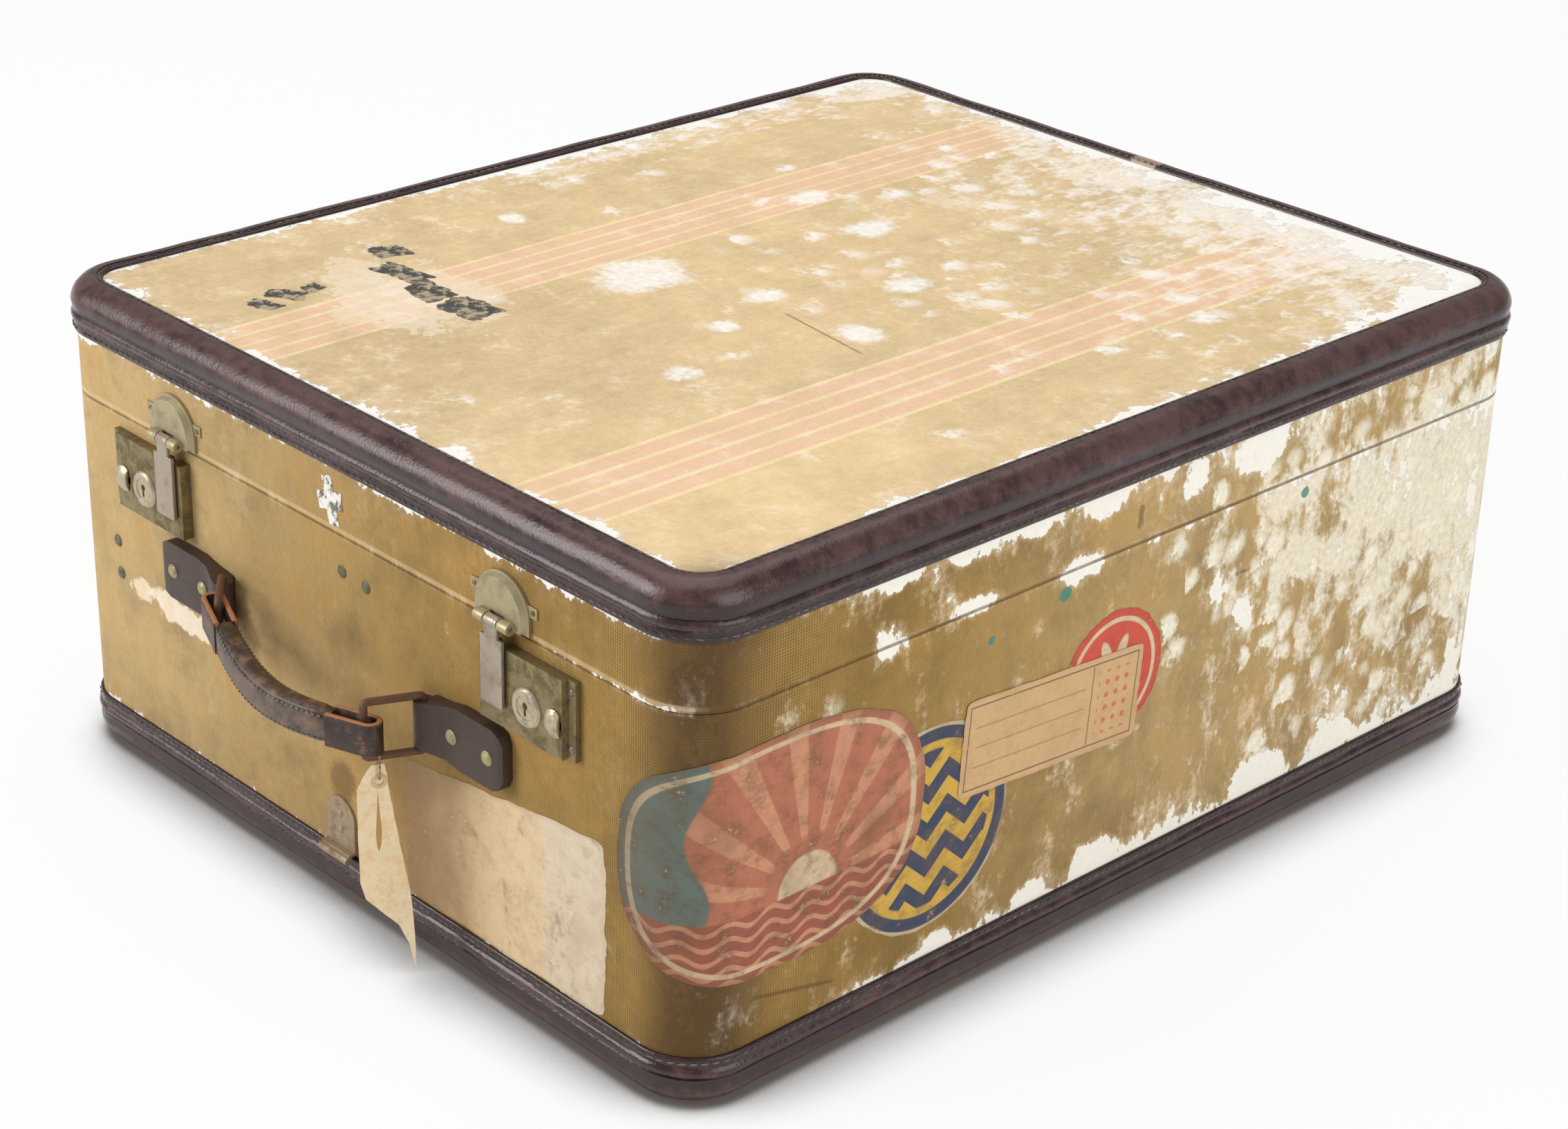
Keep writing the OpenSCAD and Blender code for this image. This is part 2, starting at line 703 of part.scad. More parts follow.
// Base leaf: two outer knuckles, with the middle cut back for the lid's knuckle
module hinge_base_leaf_shape() {
  difference() {
    union() {
      leaf_plate(hinge_z - leaf_h, hinge_z - seam_gap);
      hinge_tube(-leaf_w / 2, -hinge_hw - 0.4, knuckle_r);
      hinge_tube(hinge_hw + 0.4, leaf_w / 2, knuckle_r);
    }
    translate([-hinge_hw - 0.4, back_y - 1, hinge_z - leaf_clear])
      cube([2 * hinge_hw + 0.8, 2 * knuckle_r + 4, leaf_clear + 5]);
    hinge_tube(-leaf_w, leaf_w, hinge_pin_r + run_gap);
    hinge_rivet_place(hinge_z - leaf_h + 7)
      translate([0, 0, -1])
        cylinder(h = leaf_t + 2, r = 1.55);
  }
}

// Lid leaf: one middle knuckle whose lug meets the base leaf when the lid is open
module hinge_lid_leaf_shape() {
  difference() {
    union() {
      leaf_plate(hinge_z + seam_gap, hinge_z + leaf_h);
      hinge_tube(-leaf_w, leaf_w, knuckle_r);
      translate([-leaf_w / 2 - 1, hinge_y, hinge_z])
        rotate([open_deg, 0, 0])
          translate([0, leaf_t - knuckle_r, -lug_r])
            cube([leaf_w + 2, lug_t, lug_r]);
    }
    for (x = [-leaf_w - 1, hinge_hw])
      translate([x, back_y - 1, hinge_z - 2 * lug_r])
        cube([leaf_w + 1 - hinge_hw, 2 * lug_r + knuckle_r, 2 * lug_r + leaf_clear]);
    hinge_tube(-2 * leaf_w, 2 * leaf_w, hinge_pin_r + run_gap);
    hinge_rivet_place(hinge_z + leaf_h - 7)
      translate([0, 0, -1])
        cylinder(h = leaf_t + 2, r = 1.55);
  }
}

module hinge_at(s) translate([s * hinge_x, 0, 0]) children();

module hinge_base_leaf_left() color("gray") put() hinge_at(-1) hinge_base_leaf_shape();
module hinge_base_leaf_right() color("gray") put() hinge_at(1) hinge_base_leaf_shape();
module hinge_lid_leaf_left() color("gray") put() hinge_at(-1) hinge_lid_leaf_shape();
module hinge_lid_leaf_right() color("gray") put() hinge_at(1) hinge_lid_leaf_shape();
module hinge_pin_left() color("silver") put() hinge_at(-1) hinge_tube(-leaf_w / 2, leaf_w / 2, hinge_pin_r);
module hinge_pin_right() color("silver") put() hinge_at(1) hinge_tube(-leaf_w / 2, leaf_w / 2, hinge_pin_r);

module hinge_rivet() {
  cylinder(h = leaf_t, r = 1.5);
  translate([0, 0, leaf_t])
    cylinder(h = 1.1, r1 = 3, r2 = 1.8);
}

module hinge_base_rivets() {
  color("darkkhaki") put()
    for (s = [-1, 1])
      hinge_at(s) hinge_rivet_place(hinge_z - leaf_h + 7) hinge_rivet();
}

module hinge_lid_rivets() {
  color("darkkhaki") put()
    for (s = [-1, 1])
      hinge_at(s) hinge_rivet_place(hinge_z + leaf_h - 7) hinge_rivet();
}

clasp_x = 0;
clasp_hw = 10;
clasp_z0 = binding_side + 1;
clasp_z1 = clasp_z0 + 25;
foot_p = binding_t + 2.6;
foot_z = binding_side - 0.5;
clasp_rivet_zs = [clasp_z0 + 9, clasp_z0 + 17];

// Arched plate low on the front with a rolled foot
module clasp_plate() {
  color("gray") put() side(1) difference() {
    union() {
      fbox(clasp_x - clasp_hw, clasp_x + clasp_hw, 0, 1.2, clasp_z0, clasp_z1 - clasp_hw);
      intersection() {
        fcyl(clasp_x, clasp_z1 - clasp_hw, 0, 1.2, clasp_hw, clasp_hw);
        fbox(clasp_x - 20, clasp_x + 20, -1, 3, clasp_z1 - clasp_hw, clasp_z1 + 1);
      }
      xcyl(clasp_x - clasp_hw, clasp_x + clasp_hw, foot_p, foot_z, 2);
      fbox(clasp_x - clasp_hw, clasp_x + clasp_hw, 0, foot_p, clasp_z0, foot_z + 3);
    }
    for (z = clasp_rivet_zs) rivet_hole(clasp_x, z, 0, 1.2, 1.8);
  }
}

module clasp_rivets() {
  color("dimgray") put() side(1)
    for (z = clasp_rivet_zs)
      rivet(clasp_x, z, 0, 1.2, 1.8);
}

// Rivet heads that show through the canvas of the front
module front_studs() {
  color("darkslategray") put()
    for (q = [[6.5, -16], [23, -17.2], [-169, -65], [-168, -81]])
      fcyl(hardware_x + q[0], seam_z + q[1], 0, 0.9, 3.2, 2);
}

// Placing of the tag: x along the bar away from the case, y through the tag, z down from the bar
module tag_place() {
  translate([handle_x + tag_at[0], front_y - tag_at[1], tag_bar_z])
    rotate([0, 0, 180 + link_right_deg])
      children();
}

// Torn tag: narrow at the string hole, straight on its outer edge and pointed at its foot
module tag() {
  top = tag_hole_z + 8;
  out = 0.45 * tag_w;
  back = 0.58 * tag_w;
  color("wheat") put() tag_place()
    difference() {
      translate([0, tag_t / 2, 0])
        rotate([90, 0, 0])
          linear_extrude(height = tag_t)
            polygon([[0.13 * tag_w, top], [out, top - 0.11 * tag_l], [out, top - 0.57 * tag_l],
              [0.34 * tag_w, top - 0.65 * tag_l], [-0.28 * tag_w, top - 0.79 * tag_l],
              [-back + 0.4, top - tag_l], [-back - 0.4, top - tag_l], [-back, top - 0.7 * tag_l],
              [-0.18 * tag_w, top - 0.12 * tag_l], [-0.12 * tag_w, top]]);
      translate([0, 5, tag_hole_z])
        rotate([90, 0, 0])
          cylinder(h = 10, r = tag_hole_r);
    }
}

// Fibre washer round the string hole
module tag_eyelet() {
  color("peru") put() tag_place()
    translate([0, tag_t / 2 + 0.35, tag_hole_z])
      rotate([90, 0, 0])
        difference() {
          cylinder(h = 0.35, r = 3.4);
          translate([0, 0, -1])
            cylinder(h = 3, r = tag_hole_r);
        }
}

// Closed string loop from the link's lower bar through the tag
module tag_string() {
  color("burlywood") put() tag_place()
    rotate([0, 0, 90]) {
      for (x = [-string_bend, string_bend])
        translate([x, 0, -string_l])
          cylinder(h = string_l, r = string_r);
      rotate([90, 0, 0])
        rotate_extrude(angle = 180)
          translate([string_bend, 0])
            circle(r = string_r);
      translate([0, 0, -string_l])
        rotate([90, 0, 0])
          rotate([0, 0, 180])
            rotate_extrude(angle = 180)
              translate([string_bend, 0])
                circle(r = string_r);
    }
}

base_board();
base_band();
base_canvas();
base_binding();
base_lining();
base_lip();
lid_board();
lid_band();
lid_canvas();
lid_binding();
lid_lining();
lock_plate_left();
lock_plate_right();
lock_rosette_left();
lock_rosette_right();
lock_barrel_left();
lock_barrel_right();
lock_bolt_left();
lock_bolt_right();
lock_button_left();
lock_button_right();
lock_rivets();
hasp_plate_left();
hasp_plate_right();
hasp_pin_left();
hasp_pin_right();
hasp_left();
hasp_right();
hasp_plate_rivets();
handle_tab_left();
handle_tab_right();
handle_tab_rivets();
handle_link_left();
handle_link_right();
handle_loop_left();
handle_loop_right();
handle_grip();
hinge_base_leaf_left();
hinge_base_leaf_right();
hinge_lid_leaf_left();
hinge_lid_leaf_right();
hinge_pin_left();
hinge_pin_right();
hinge_base_rivets();
hinge_lid_rivets();
clasp_plate();
clasp_rivets();
front_studs();
tag();
tag_eyelet();
tag_string();
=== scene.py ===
"""Looks of an old canvas suitcase, built round its packed CAD frame.

Sizes are written in millimetres and turned into metres where a mesh is made.
X runs along the handle side, Y from the handle to the hinges, Z up, and "p" is the height above the front canvas.
"""

from __future__ import annotations

import itertools
import json
import logging
import math
import random
from dataclasses import dataclass, field
from enum import Enum
from typing import Callable, Sequence, Union

import bmesh
import bpy
import numpy as np
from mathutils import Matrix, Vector, noise

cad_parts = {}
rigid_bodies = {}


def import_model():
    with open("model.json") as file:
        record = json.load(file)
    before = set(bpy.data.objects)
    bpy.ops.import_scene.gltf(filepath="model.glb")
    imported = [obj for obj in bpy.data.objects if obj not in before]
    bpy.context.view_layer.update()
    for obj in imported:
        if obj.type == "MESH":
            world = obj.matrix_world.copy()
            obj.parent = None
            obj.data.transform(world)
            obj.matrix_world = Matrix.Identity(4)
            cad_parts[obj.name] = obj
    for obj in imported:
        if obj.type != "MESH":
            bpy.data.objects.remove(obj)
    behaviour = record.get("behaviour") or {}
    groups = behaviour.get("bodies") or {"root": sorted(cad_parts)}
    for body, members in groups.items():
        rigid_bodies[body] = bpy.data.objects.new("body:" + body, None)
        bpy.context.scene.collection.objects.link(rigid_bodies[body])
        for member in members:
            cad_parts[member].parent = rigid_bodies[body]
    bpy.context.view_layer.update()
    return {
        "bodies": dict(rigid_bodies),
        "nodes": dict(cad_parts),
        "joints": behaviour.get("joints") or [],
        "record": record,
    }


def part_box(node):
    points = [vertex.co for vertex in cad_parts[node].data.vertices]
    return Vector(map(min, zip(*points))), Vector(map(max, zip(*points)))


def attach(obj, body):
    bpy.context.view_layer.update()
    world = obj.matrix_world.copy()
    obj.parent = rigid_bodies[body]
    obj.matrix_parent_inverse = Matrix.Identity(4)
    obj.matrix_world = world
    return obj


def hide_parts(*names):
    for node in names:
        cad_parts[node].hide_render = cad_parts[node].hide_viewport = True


LOG = logging.getLogger("suitcase")
MM = 0.001
WELD = 2e-6
FLAT_ANGLE, HARD_ANGLE = math.radians(2.0), math.radians(35.0)
CUSHION = 2.6
RGB = tuple[float, float, float]
Pair = tuple[float, float]
Point = tuple[float, float, float]
Patch = tuple[float, float, float, float]
Station = tuple[float, float, float, float, float]
Feed = Union["Channel", float, Sequence[float]]


class Side(Enum):
    """The two ends of the handle side."""

    LEFT = -1
    RIGHT = 1

    @property
    def word(self) -> str:
        """Name of the side as the CAD nodes spell it."""
        return self.name.lower()


class Half(Enum):
    """The two halves of the case, named as their CAD bodies."""

    BASE = "base"
    LID = "lid"


class Motif(Enum):
    """Plain printed designs of the paper stickers."""

    SUNRISE = "sunrise"
    CHEVRON = "chevron"
    PETALS = "petals"
    RULED = "ruled"
    BLANK = "blank"
    SCRAP = "scrap"


def operation(name: str, text: str, turned: bool = False) -> Callable[..., "Channel"]:
    """Makes a method that adds one Math node.

    Args:
        name: the node's operation.
        text: what the method gives.
        turned: whether the inputs go in from last to first.

    Returns:
        The method, which takes the inputs after the first.
    """

    def method(self: "Channel", *others: Feed) -> "Channel":
        values = (self, *others)
        inputs = dict(enumerate(values[::-1] if turned else values))
        return self.graph.node("ShaderNodeMath", {"operation": name}, inputs)

    method.__doc__ = text
    return method


class Channel:
    """One socket of a material's graph; arithmetic on it adds Math nodes."""

    __add__ = __radd__ = operation("ADD", "Sum.")
    __sub__ = operation("SUBTRACT", "Difference.")
    __rsub__ = operation("SUBTRACT", "Difference from a number.", turned=True)
    __mul__ = __rmul__ = operation("MULTIPLY", "Product.")
    __truediv__ = operation("DIVIDE", "Quotient.")
    __abs__ = operation("ABSOLUTE", "Value without its sign.")
    __pow__ = operation("POWER", "Power.")
    low = operation("MINIMUM", "Smaller of two values.")
    high = operation("MAXIMUM", "Larger of two values.")
    sin = operation("SINE", "Sine.")
    exp = operation("EXPONENT", "Natural exponent.")
    root = operation("SQRT", "Square root.")
    part = operation("FRACT", "Fraction above the whole number.")
    angle = operation("ARCTAN2", "Angle whose sine side is this value and whose cosine side is the other.")

    def __init__(self, graph: "Graph", socket: bpy.types.NodeSocket) -> None:
        """Keeps the graph and the socket."""
        self.graph = graph
        self.socket = socket

    def fall(self, reach: Feed) -> "Channel":
        """Share that is 1 at a distance of 0 or less and falls to 1/e at the reach."""
        return (self.high(0.0) / reach * -1.0).exp()

    def ramp(self, start: float, end: float) -> "Channel":
        """Smooth step that is 0 at start and 1 at end, which may be the smaller of the two."""
        settings = {"interpolation_type": "SMOOTHSTEP"}
        return self.graph.node("ShaderNodeMapRange", settings, {0: self, 1: start, 2: end})

    def axes(self) -> tuple["Channel", "Channel", "Channel"]:
        """X, Y and Z of a vector."""
        kind = "ShaderNodeSeparateXYZ"
        return tuple(self.graph.node(kind, {}, {0: self}, out=i) for i in range(3))


class Graph:
    """A material's node graph round one Principled shader."""

    def __init__(self, name: str) -> None:
        """Makes a material of that name with an empty Principled shader."""
        self.material = bpy.data.materials.new(name)
        self.material.use_nodes = True
        self.tree = self.material.node_tree
        self.shader = self.tree.nodes["Principled BSDF"]

    def node(self, kind: str, settings: dict, inputs: dict, out: Union[int, str] = 0) -> Channel:
        """Adds a node.

        Args:
            kind: Blender's name of the node's type.
            settings: properties that are set before the sockets.
            inputs: values or channels by the socket's name or number.
            out: name or number of the output wanted.

        Returns:
            That output.
        """
        made = self.tree.nodes.new(kind)
        for key, value in settings.items():
            setattr(made, key, value)
        for key, value in inputs.items():
            self.join(made.inputs[key], value)
        return Channel(self, made.outputs[out])

    def join(self, socket: bpy.types.NodeSocket, value: Feed) -> None:
        """Links a channel to a socket, or sets the socket to a plain value."""
        if isinstance(value, Channel):
            self.tree.links.new(value.socket, socket)
        elif isinstance(value, (int, float)):
            socket.default_value = value
        else:
            socket.default_value = tuple(value) + (1.0,) * (len(socket.default_value) - len(value))

    def feed(self, **values: Feed) -> bpy.types.Material:
        """Feeds the shader's sockets, named with underscores for spaces.

        Returns:
            The finished material.
        """
        for key, value in values.items():
            self.join(self.shader.inputs[key.replace("_", " ")], value)
        return self.material

    def mix(self, factor: Feed, first: Feed, second: Feed) -> Channel:
        """Colour that goes from the first to the second as factor goes from 0 to 1."""
        settings = {"data_type": "RGBA", "clamp_factor": True}
        return self.node("ShaderNodeMix", settings, {0: factor, 6: first, 7: second}, out=2)

    def vector(self, step: str, first: Feed, second: Feed) -> Channel:
        """Vector Math on two vectors or colours."""
        return self.node("ShaderNodeVectorMath", {"operation": step}, {0: first, 1: second})

    def each(self, amount: Feed) -> Channel:
        """Vector with the same amount on each axis."""
        return self.node("ShaderNodeCombineXYZ", {}, {0: amount, 1: amount, 2: amount})

    def tint(self, colour: Feed, amount: Feed) -> Channel:
        """Colour made lighter or darker by a number round 1."""
        return self.vector("MULTIPLY", colour, self.each(amount))

    def nudge(self, where: Feed, amount: Feed) -> Channel:
        """Vector moved by the same amount on each axis."""
        return self.vector("ADD", where, self.each(amount))

    def place(self, middle: Point = (0.0, 0.0, 0.0)) -> Channel:
        """Place on the piece at rest, in millimetres from a middle given in metres."""
        where = self.node("ShaderNodeTexCoord", {}, {}, out="Object")
        return self.vector("MULTIPLY", self.vector("SUBTRACT", where, middle), (1.0 / MM,) * 3)

    def stored(self, name: str) -> Channel:
        """Vector that the mesh stores at its points under that name."""
        return self.node("ShaderNodeAttribute", {"attribute_name": name}, {}, out="Vector")

    def cloud(
        self, where: Feed, size: float, detail: float = 4.0, rough: float = 0.55, squeeze: Point | None = None
    ) -> Channel:
        """Soft noise from 0 to 1 with lumps of about size millimetres, divided on each axis by squeeze."""
        if squeeze is not None:
            where = self.vector("MULTIPLY", where, squeeze)
        inputs = {"Vector": where, "Scale": 1.0 / size, "Detail": detail, "Roughness": rough}
        return self.node("ShaderNodeTexNoise", {}, inputs)

    def cells(self, where: Feed, size: float, out: str = "Distance") -> Channel:
        """Voronoi cells of about size millimetres."""
        return self.node("ShaderNodeTexVoronoi", {}, {"Vector": where, "Scale": 1.0 / size}, out=out)

    def relief(self, height: Feed, strength: float = 1.0) -> Channel:
        """Normal from a height in millimetres."""
        return self.node("ShaderNodeBump", {}, {"Height": height, "Strength": strength, "Distance": MM})


def blend(mask: Channel, first: Feed, second: Feed) -> Channel:
    """Number that goes from the first to the second as mask goes from 0 to 1."""
    return first + (second - first) * mask


def ellipse(p: Channel, q: Channel, middle: Pair, half: Pair) -> Channel:
    """Squared distance from a middle, which is 1 on the ellipse with those half widths."""
    a, b = (p - middle[0]) / half[0], (q - middle[1]) / half[1]
    return a * a + b * b


def mounds(p: Channel, q: Channel, places: Sequence[Patch]) -> Channel:
    """Height of round mounds, each given by its middle and its half widths, and 0 between them."""
    height: Feed = 0.0
    for a, b, wide, long in places:
        height = (1.0 - ellipse(p, q, (a, b), (wide, long))).high(height)
    return height


def scatter(
    g: Graph, where: Channel, size: float, share: Channel, gate: Pair, rim: Pair, faint: Pair
) -> tuple[Channel, Channel]:
    """Round dabs in some of the cells of a pattern.

    Args:
        g: the graph.
        where: place in millimetres.
        size: size of the cells.
        share: added to a cell's chance of holding a dab.
        gate: chances at which dabs start and are full.
        rim: distances from a cell's middle at which a dab ends and is full.
        faint: least strength of a dab, and how much chance adds to it.

    Returns:
        The dabs, and a random number for each cell.
    """
    chance = g.cells(where, size, "Color").axes()
    dabs = g.cells(where, size).ramp(*rim) * (chance[0] + share).ramp(*gate)
    return dabs * (faint[0] + faint[1] * chance[1]), chance[2]


@dataclass(frozen=True)
class Cloth:
    """Place, masks of the faces, noises and weave that all parts of the canvas share."""

    g: Graph
    where: Channel
    top: Channel
    side: Channel
    right: Channel
    front: Channel
    bend: Channel
    slow: Channel
    blot: Channel
    mid: Channel
    fine: Channel
    chip: Channel
    streak: Channel
    rubs: Channel
    ruffle: Channel
    weave: Channel


@dataclass(frozen=True)
class CanvasFinish:
    """Woven canvas, faded on the lid's top, flaked white along its edges, with woven stripes on the top.

    Places are in millimetres from the middle of the case on the floor. Specks and chunks lie on the right wall and
    are given by depth and height, dabs lie on the top and are given by width and depth; half widths follow.
    """

    # The top's pale colour is partly fading and partly painted light from above; the darker wall colours are partly
    # painted shade.
    faded: RGB = (0.79, 0.59, 0.33)
    ground: RGB = (0.565, 0.395, 0.182)
    deep: RGB = (0.33, 0.2, 0.056)
    rust: RGB = (0.37, 0.205, 0.056)
    # Dark dirt colour, also used for painted shade in the lid's seam and the painted shadow of the handle.
    grime: RGB = (0.12, 0.066, 0.022)
    bare: RGB = (0.98, 0.965, 0.92)
    raw: RGB = (0.9, 0.71, 0.47)
    cream: RGB = (1.0, 0.94, 0.74)
    pink: RGB = (0.9, 0.585, 0.395)
    yellow: RGB = (0.98, 0.79, 0.45)
    teal: RGB = (0.05, 0.26, 0.2)
    specks: tuple[Point, ...] = ((-54.6, 167.2, 3.4), (100.9, 167.8, 2.8), (-98.0, 160.0, 2.2))
    bands: tuple[Pair, ...] = ((-112.0, -71.0), (96.0, 143.0))
    dabs: tuple[Patch, ...] = (
        (-50.0, -53.0, 26.0, 30.0), (37.0, 33.0, 12.0, 17.0), (66.0, -27.0, 15.0, 13.0), (51.0, -117.0, 10.0, 12.0),
        (5.0, -27.0, 9.0, 14.0), (22.0, -67.0, 10.0, 9.0), (-29.0, 72.0, 14.0, 20.0), (-147.0, -50.0, 10.0, 9.0),
        (150.0, 107.0, 10.0, 12.0), (-81.0, 80.0, 13.0, 15.0),
    )
    chunks: tuple[Patch, ...] = (
        (-157.0, 178.0, 14.0, 11.0), (-152.0, 206.0, 14.0, 10.0), (-112.0, 206.0, 16.0, 9.0),
        (-75.0, 205.0, 12.0, 9.0), (-33.0, 205.0, 17.0, 12.0), (24.0, 195.0, 13.0, 11.0),
        (-46.0, 176.0, 16.0, 10.0), (-106.0, 179.0, 19.0, 5.5), (44.0, 137.0, 10.0, 13.0), (64.0, 121.0, 11.0, 14.0),
        (70.0, 196.0, 24.0, 13.0), (-120.0, 29.0, 11.0, 6.0), (-66.0, 28.0, 13.0, 8.0), (-25.0, 31.0, 18.0, 12.0),
        (86.0, 33.0, 24.0, 12.0), (140.0, 31.0, 18.0, 9.0),
    )
    pitch: float = 1.9
    seam: float = 176.8
    lid_rim: float = 206.0
    base_rim: float = 24.0
    half_wide: float = 205.0
    half_deep: float = 246.0
    right_wall: Pair = (205.0, 216.0)
    front_wall: Pair = (-240.0, -258.0)
    top_cell: float = 17.0
    wall_cell: float = 14.5

    def edge_wear(self, where: Channel) -> Channel:
        """Share of the walls that has flaked, before noise.

        Args:
            where: place in millimetres.

        Returns:
            A number that is about 0.5 where half of the canvas is gone.
        """
        x, y, z = where.axes()
        right, front, back = x.ramp(200.0, 217.0), y.ramp(*self.front_wall), y.ramp(10.0, 170.0)
        below_lid, above_base = self.lid_rim - z, z - self.base_rim
        hang = 7.0 + 6.0 * y.ramp(-190.0, -110.0) + 2.0 * y.ramp(-30.0, 120.0)
        rise = 6.0 + 6.0 * y.ramp(-110.0, 30.0)
        on_right = (0.2 + 0.65 * y.ramp(-200.0, -165.0)) * (1.0 - 0.4 * back) * below_lid.fall(hang)
        on_right = on_right + (0.42 - 0.24 * z.ramp(177.0, 184.0)) * back + 0.28 * y.ramp(195.0, 250.0)
        on_right = on_right + (0.7 - 0.3 * back) * y.ramp(-170.0, -60.0) * abs(z - 175.0).fall(3.0 + 4.0 * back)
        on_right = on_right + (1.15 - 0.3 * back) * y.ramp(-225.0, -150.0) * above_base.fall(rise)
        on_right = on_right + mounds(y, z, self.chunks) * 1.2
        on_front = 1.12 * below_lid.fall(3.6) + 0.7 * above_base.fall(4.0)
        on_front = on_front + (0.1 + 0.95 * x.ramp(110.0, 190.0)) * abs(z - 177.0).fall(2.8)
        elsewhere = 0.06 + 0.95 * below_lid.fall(6.0) + 0.9 * above_base.fall(7.0)
        return blend(right, blend(front, elsewhere, on_front), on_right) - 0.32

    def top_wear(self, where: Channel) -> Channel:
        """Share of the lid's top that has flaked, before noise."""
        x, y, _ = where.axes()
        insets = (
            (self.half_wide - x, 5.0 + 9.0 * y.ramp(-210.0, 60.0) + 9.0 * y.ramp(90.0, 240.0)),
            (self.half_deep - y, 11.0 + 13.0 * x.ramp(-120.0, 150.0)),
            (self.half_wide + x, 10.0 + 9.0 * y.ramp(-160.0, 120.0)),
            (self.half_deep + y, 13.0),
        )
        edges: Feed = 0.0
        for inset, reach in insets:
            edges = inset.fall(reach).high(edges)
        return 1.22 * edges + 0.3 * x.ramp(-210.0, 100.0) * y.ramp(20.0, 230.0) - 0.36

    def cloth(self, g: Graph, middle: Point) -> Cloth:
        """Adds the place, masks, noises and weave to a graph."""
        where = g.place(middle)
        x, y, z = where.axes()
        top = z.ramp(225.5, 227.6)
        flat = top.high(z.ramp(4.5, 2.4))
        mid, fine = g.cloud(where, 19.0, 7.0, 0.66, (1.0, 1.0, 0.62)), g.cloud(where, 3.2, 5.0, 0.65)
        along, up = blend(flat, abs(x) - abs(y), x), blend(flat, z, y)
        turn = math.tau / (self.pitch * math.sqrt(2.0))
        return Cloth(
            g,
            where,
            top,
            side=1.0 - flat,
            right=x.ramp(*self.right_wall),
            front=y.ramp(*self.front_wall),
            bend=x.ramp(178.0, 212.0) * y.ramp(-205.0, -250.0),
            slow=g.cloud(where, 70.0, 4.0, 0.6),
            blot=g.cloud(where, 40.0, 6.0, 0.68),
            mid=mid,
            fine=fine,
            chip=g.cloud(where, 7.5, 6.0, 0.7, (1.0, 1.0, 0.75)),
            streak=g.cloud(where, 8.0, 5.0, 0.65, (1.0, 1.0, 0.3)),
            rubs=g.cloud(where, 6.0, 5.0, 0.65, (1.0, 0.14, 1.0)),
            ruffle=(mid - 0.5) + (fine - 0.5) * 0.3,
            weave=((along + up) * turn).sin() * ((along - up) * turn).sin(),
        )

    def wear(self, c: Cloth) -> Channel:
        """Wear of the canvas, which is flaked above about 0.5."""
        late = c.where.axes()[1].ramp(20.0, 150.0)
        worn = blend(c.top, self.edge_wear(c.where), self.top_wear(c.where)) + c.ruffle * 3.0 - c.bend * 0.3
        return worn + (c.chip - 0.5) * 2.0 * c.side + (c.streak - 0.5) * 1.2 * c.right * late

    def dabbed(self, c: Cloth) -> Channel:
        """Pale soft dabs on the lid's top: a few large ones and a scatter towards the back."""
        x, y, _ = c.where.axes()
        share = x.ramp(-260.0, 0.0) * y.ramp(-110.0, 120.0) * 0.72
        moved = c.g.nudge(c.where, c.ruffle * 26.0)
        dabs, _ = scatter(c.g, moved, self.top_cell, share, (0.8, 1.08), (0.74, 0.05), (0.4, 0.5))
        dabs = (mounds(x, y, self.dabs).high(dabs) * 1.1 + c.ruffle * 2.4).ramp(0.1, 1.05)
        brushed = c.g.cloud(c.where, 7.0, 6.0, 0.7, (1.0, 0.4, 1.0)) - 0.5
        haze = x.ramp(-280.0, 120.0) * y.ramp(10.0, 235.0) + y.ramp(190.0, 245.0) * 0.4
        haze = haze + x.ramp(-140.0, -205.0) * y.ramp(-160.0, 40.0) * 0.85
        return dabs.high((haze + brushed * 3.0 + c.ruffle * 1.6).ramp(0.5, 1.2) * 0.8) * c.top

    def flecked(self, c: Cloth) -> Channel:
        """Thin pale dabs and haze on the right wall, thickest towards the back and the lid."""
        x, y, z = c.where.axes()
        share = y.ramp(-40.0, 105.0) * (0.34 + 0.7 * z.ramp(50.0, 140.0)) + 0.45 * y.ramp(80.0, 235.0)
        share = share * (1.0 - 0.42 * z.ramp(177.0, 186.0))
        moved = c.g.nudge(c.where, c.ruffle * 22.0)
        dabs, odd = scatter(c.g, moved, self.wall_cell, share * 0.85, (0.86, 1.2), (0.78, 0.12), (0.55, 0.45))
        dabs = (dabs * 1.2 + c.ruffle * 2.0).ramp(0.1, 0.9)
        islands = c.g.cloud(c.where, 30.0, 5.0, 0.6) - 0.5
        haze = share * 0.96 + (islands + c.ruffle) * 2.2 + (c.streak - 0.5) * 1.5 + (odd - 0.5) * 0.4
        return dabs.high(haze.ramp(0.5, 1.2) * 0.85) * x.ramp(200.0, 216.0) * c.side

    def stripes(self, c: Cloth, colour: Channel) -> Channel:
        """Woven bands of pink stripes between thin yellow lines on the top, laid over a colour."""
        fade = (c.top * (0.75 + c.ruffle * 1.8)).high(0.0).low(0.9)
        for start, end in self.bands:
            across = (c.where.axes()[0] - start) / (end - start)
            inside = across.ramp(-0.034, -0.022) * across.ramp(1.034, 1.022)
            line = abs((across * 4.0).part() - 0.5).ramp(0.36, 0.42)
            colour = c.g.mix(inside * fade, colour, c.g.mix(line, self.pink, self.yellow))
        return colour

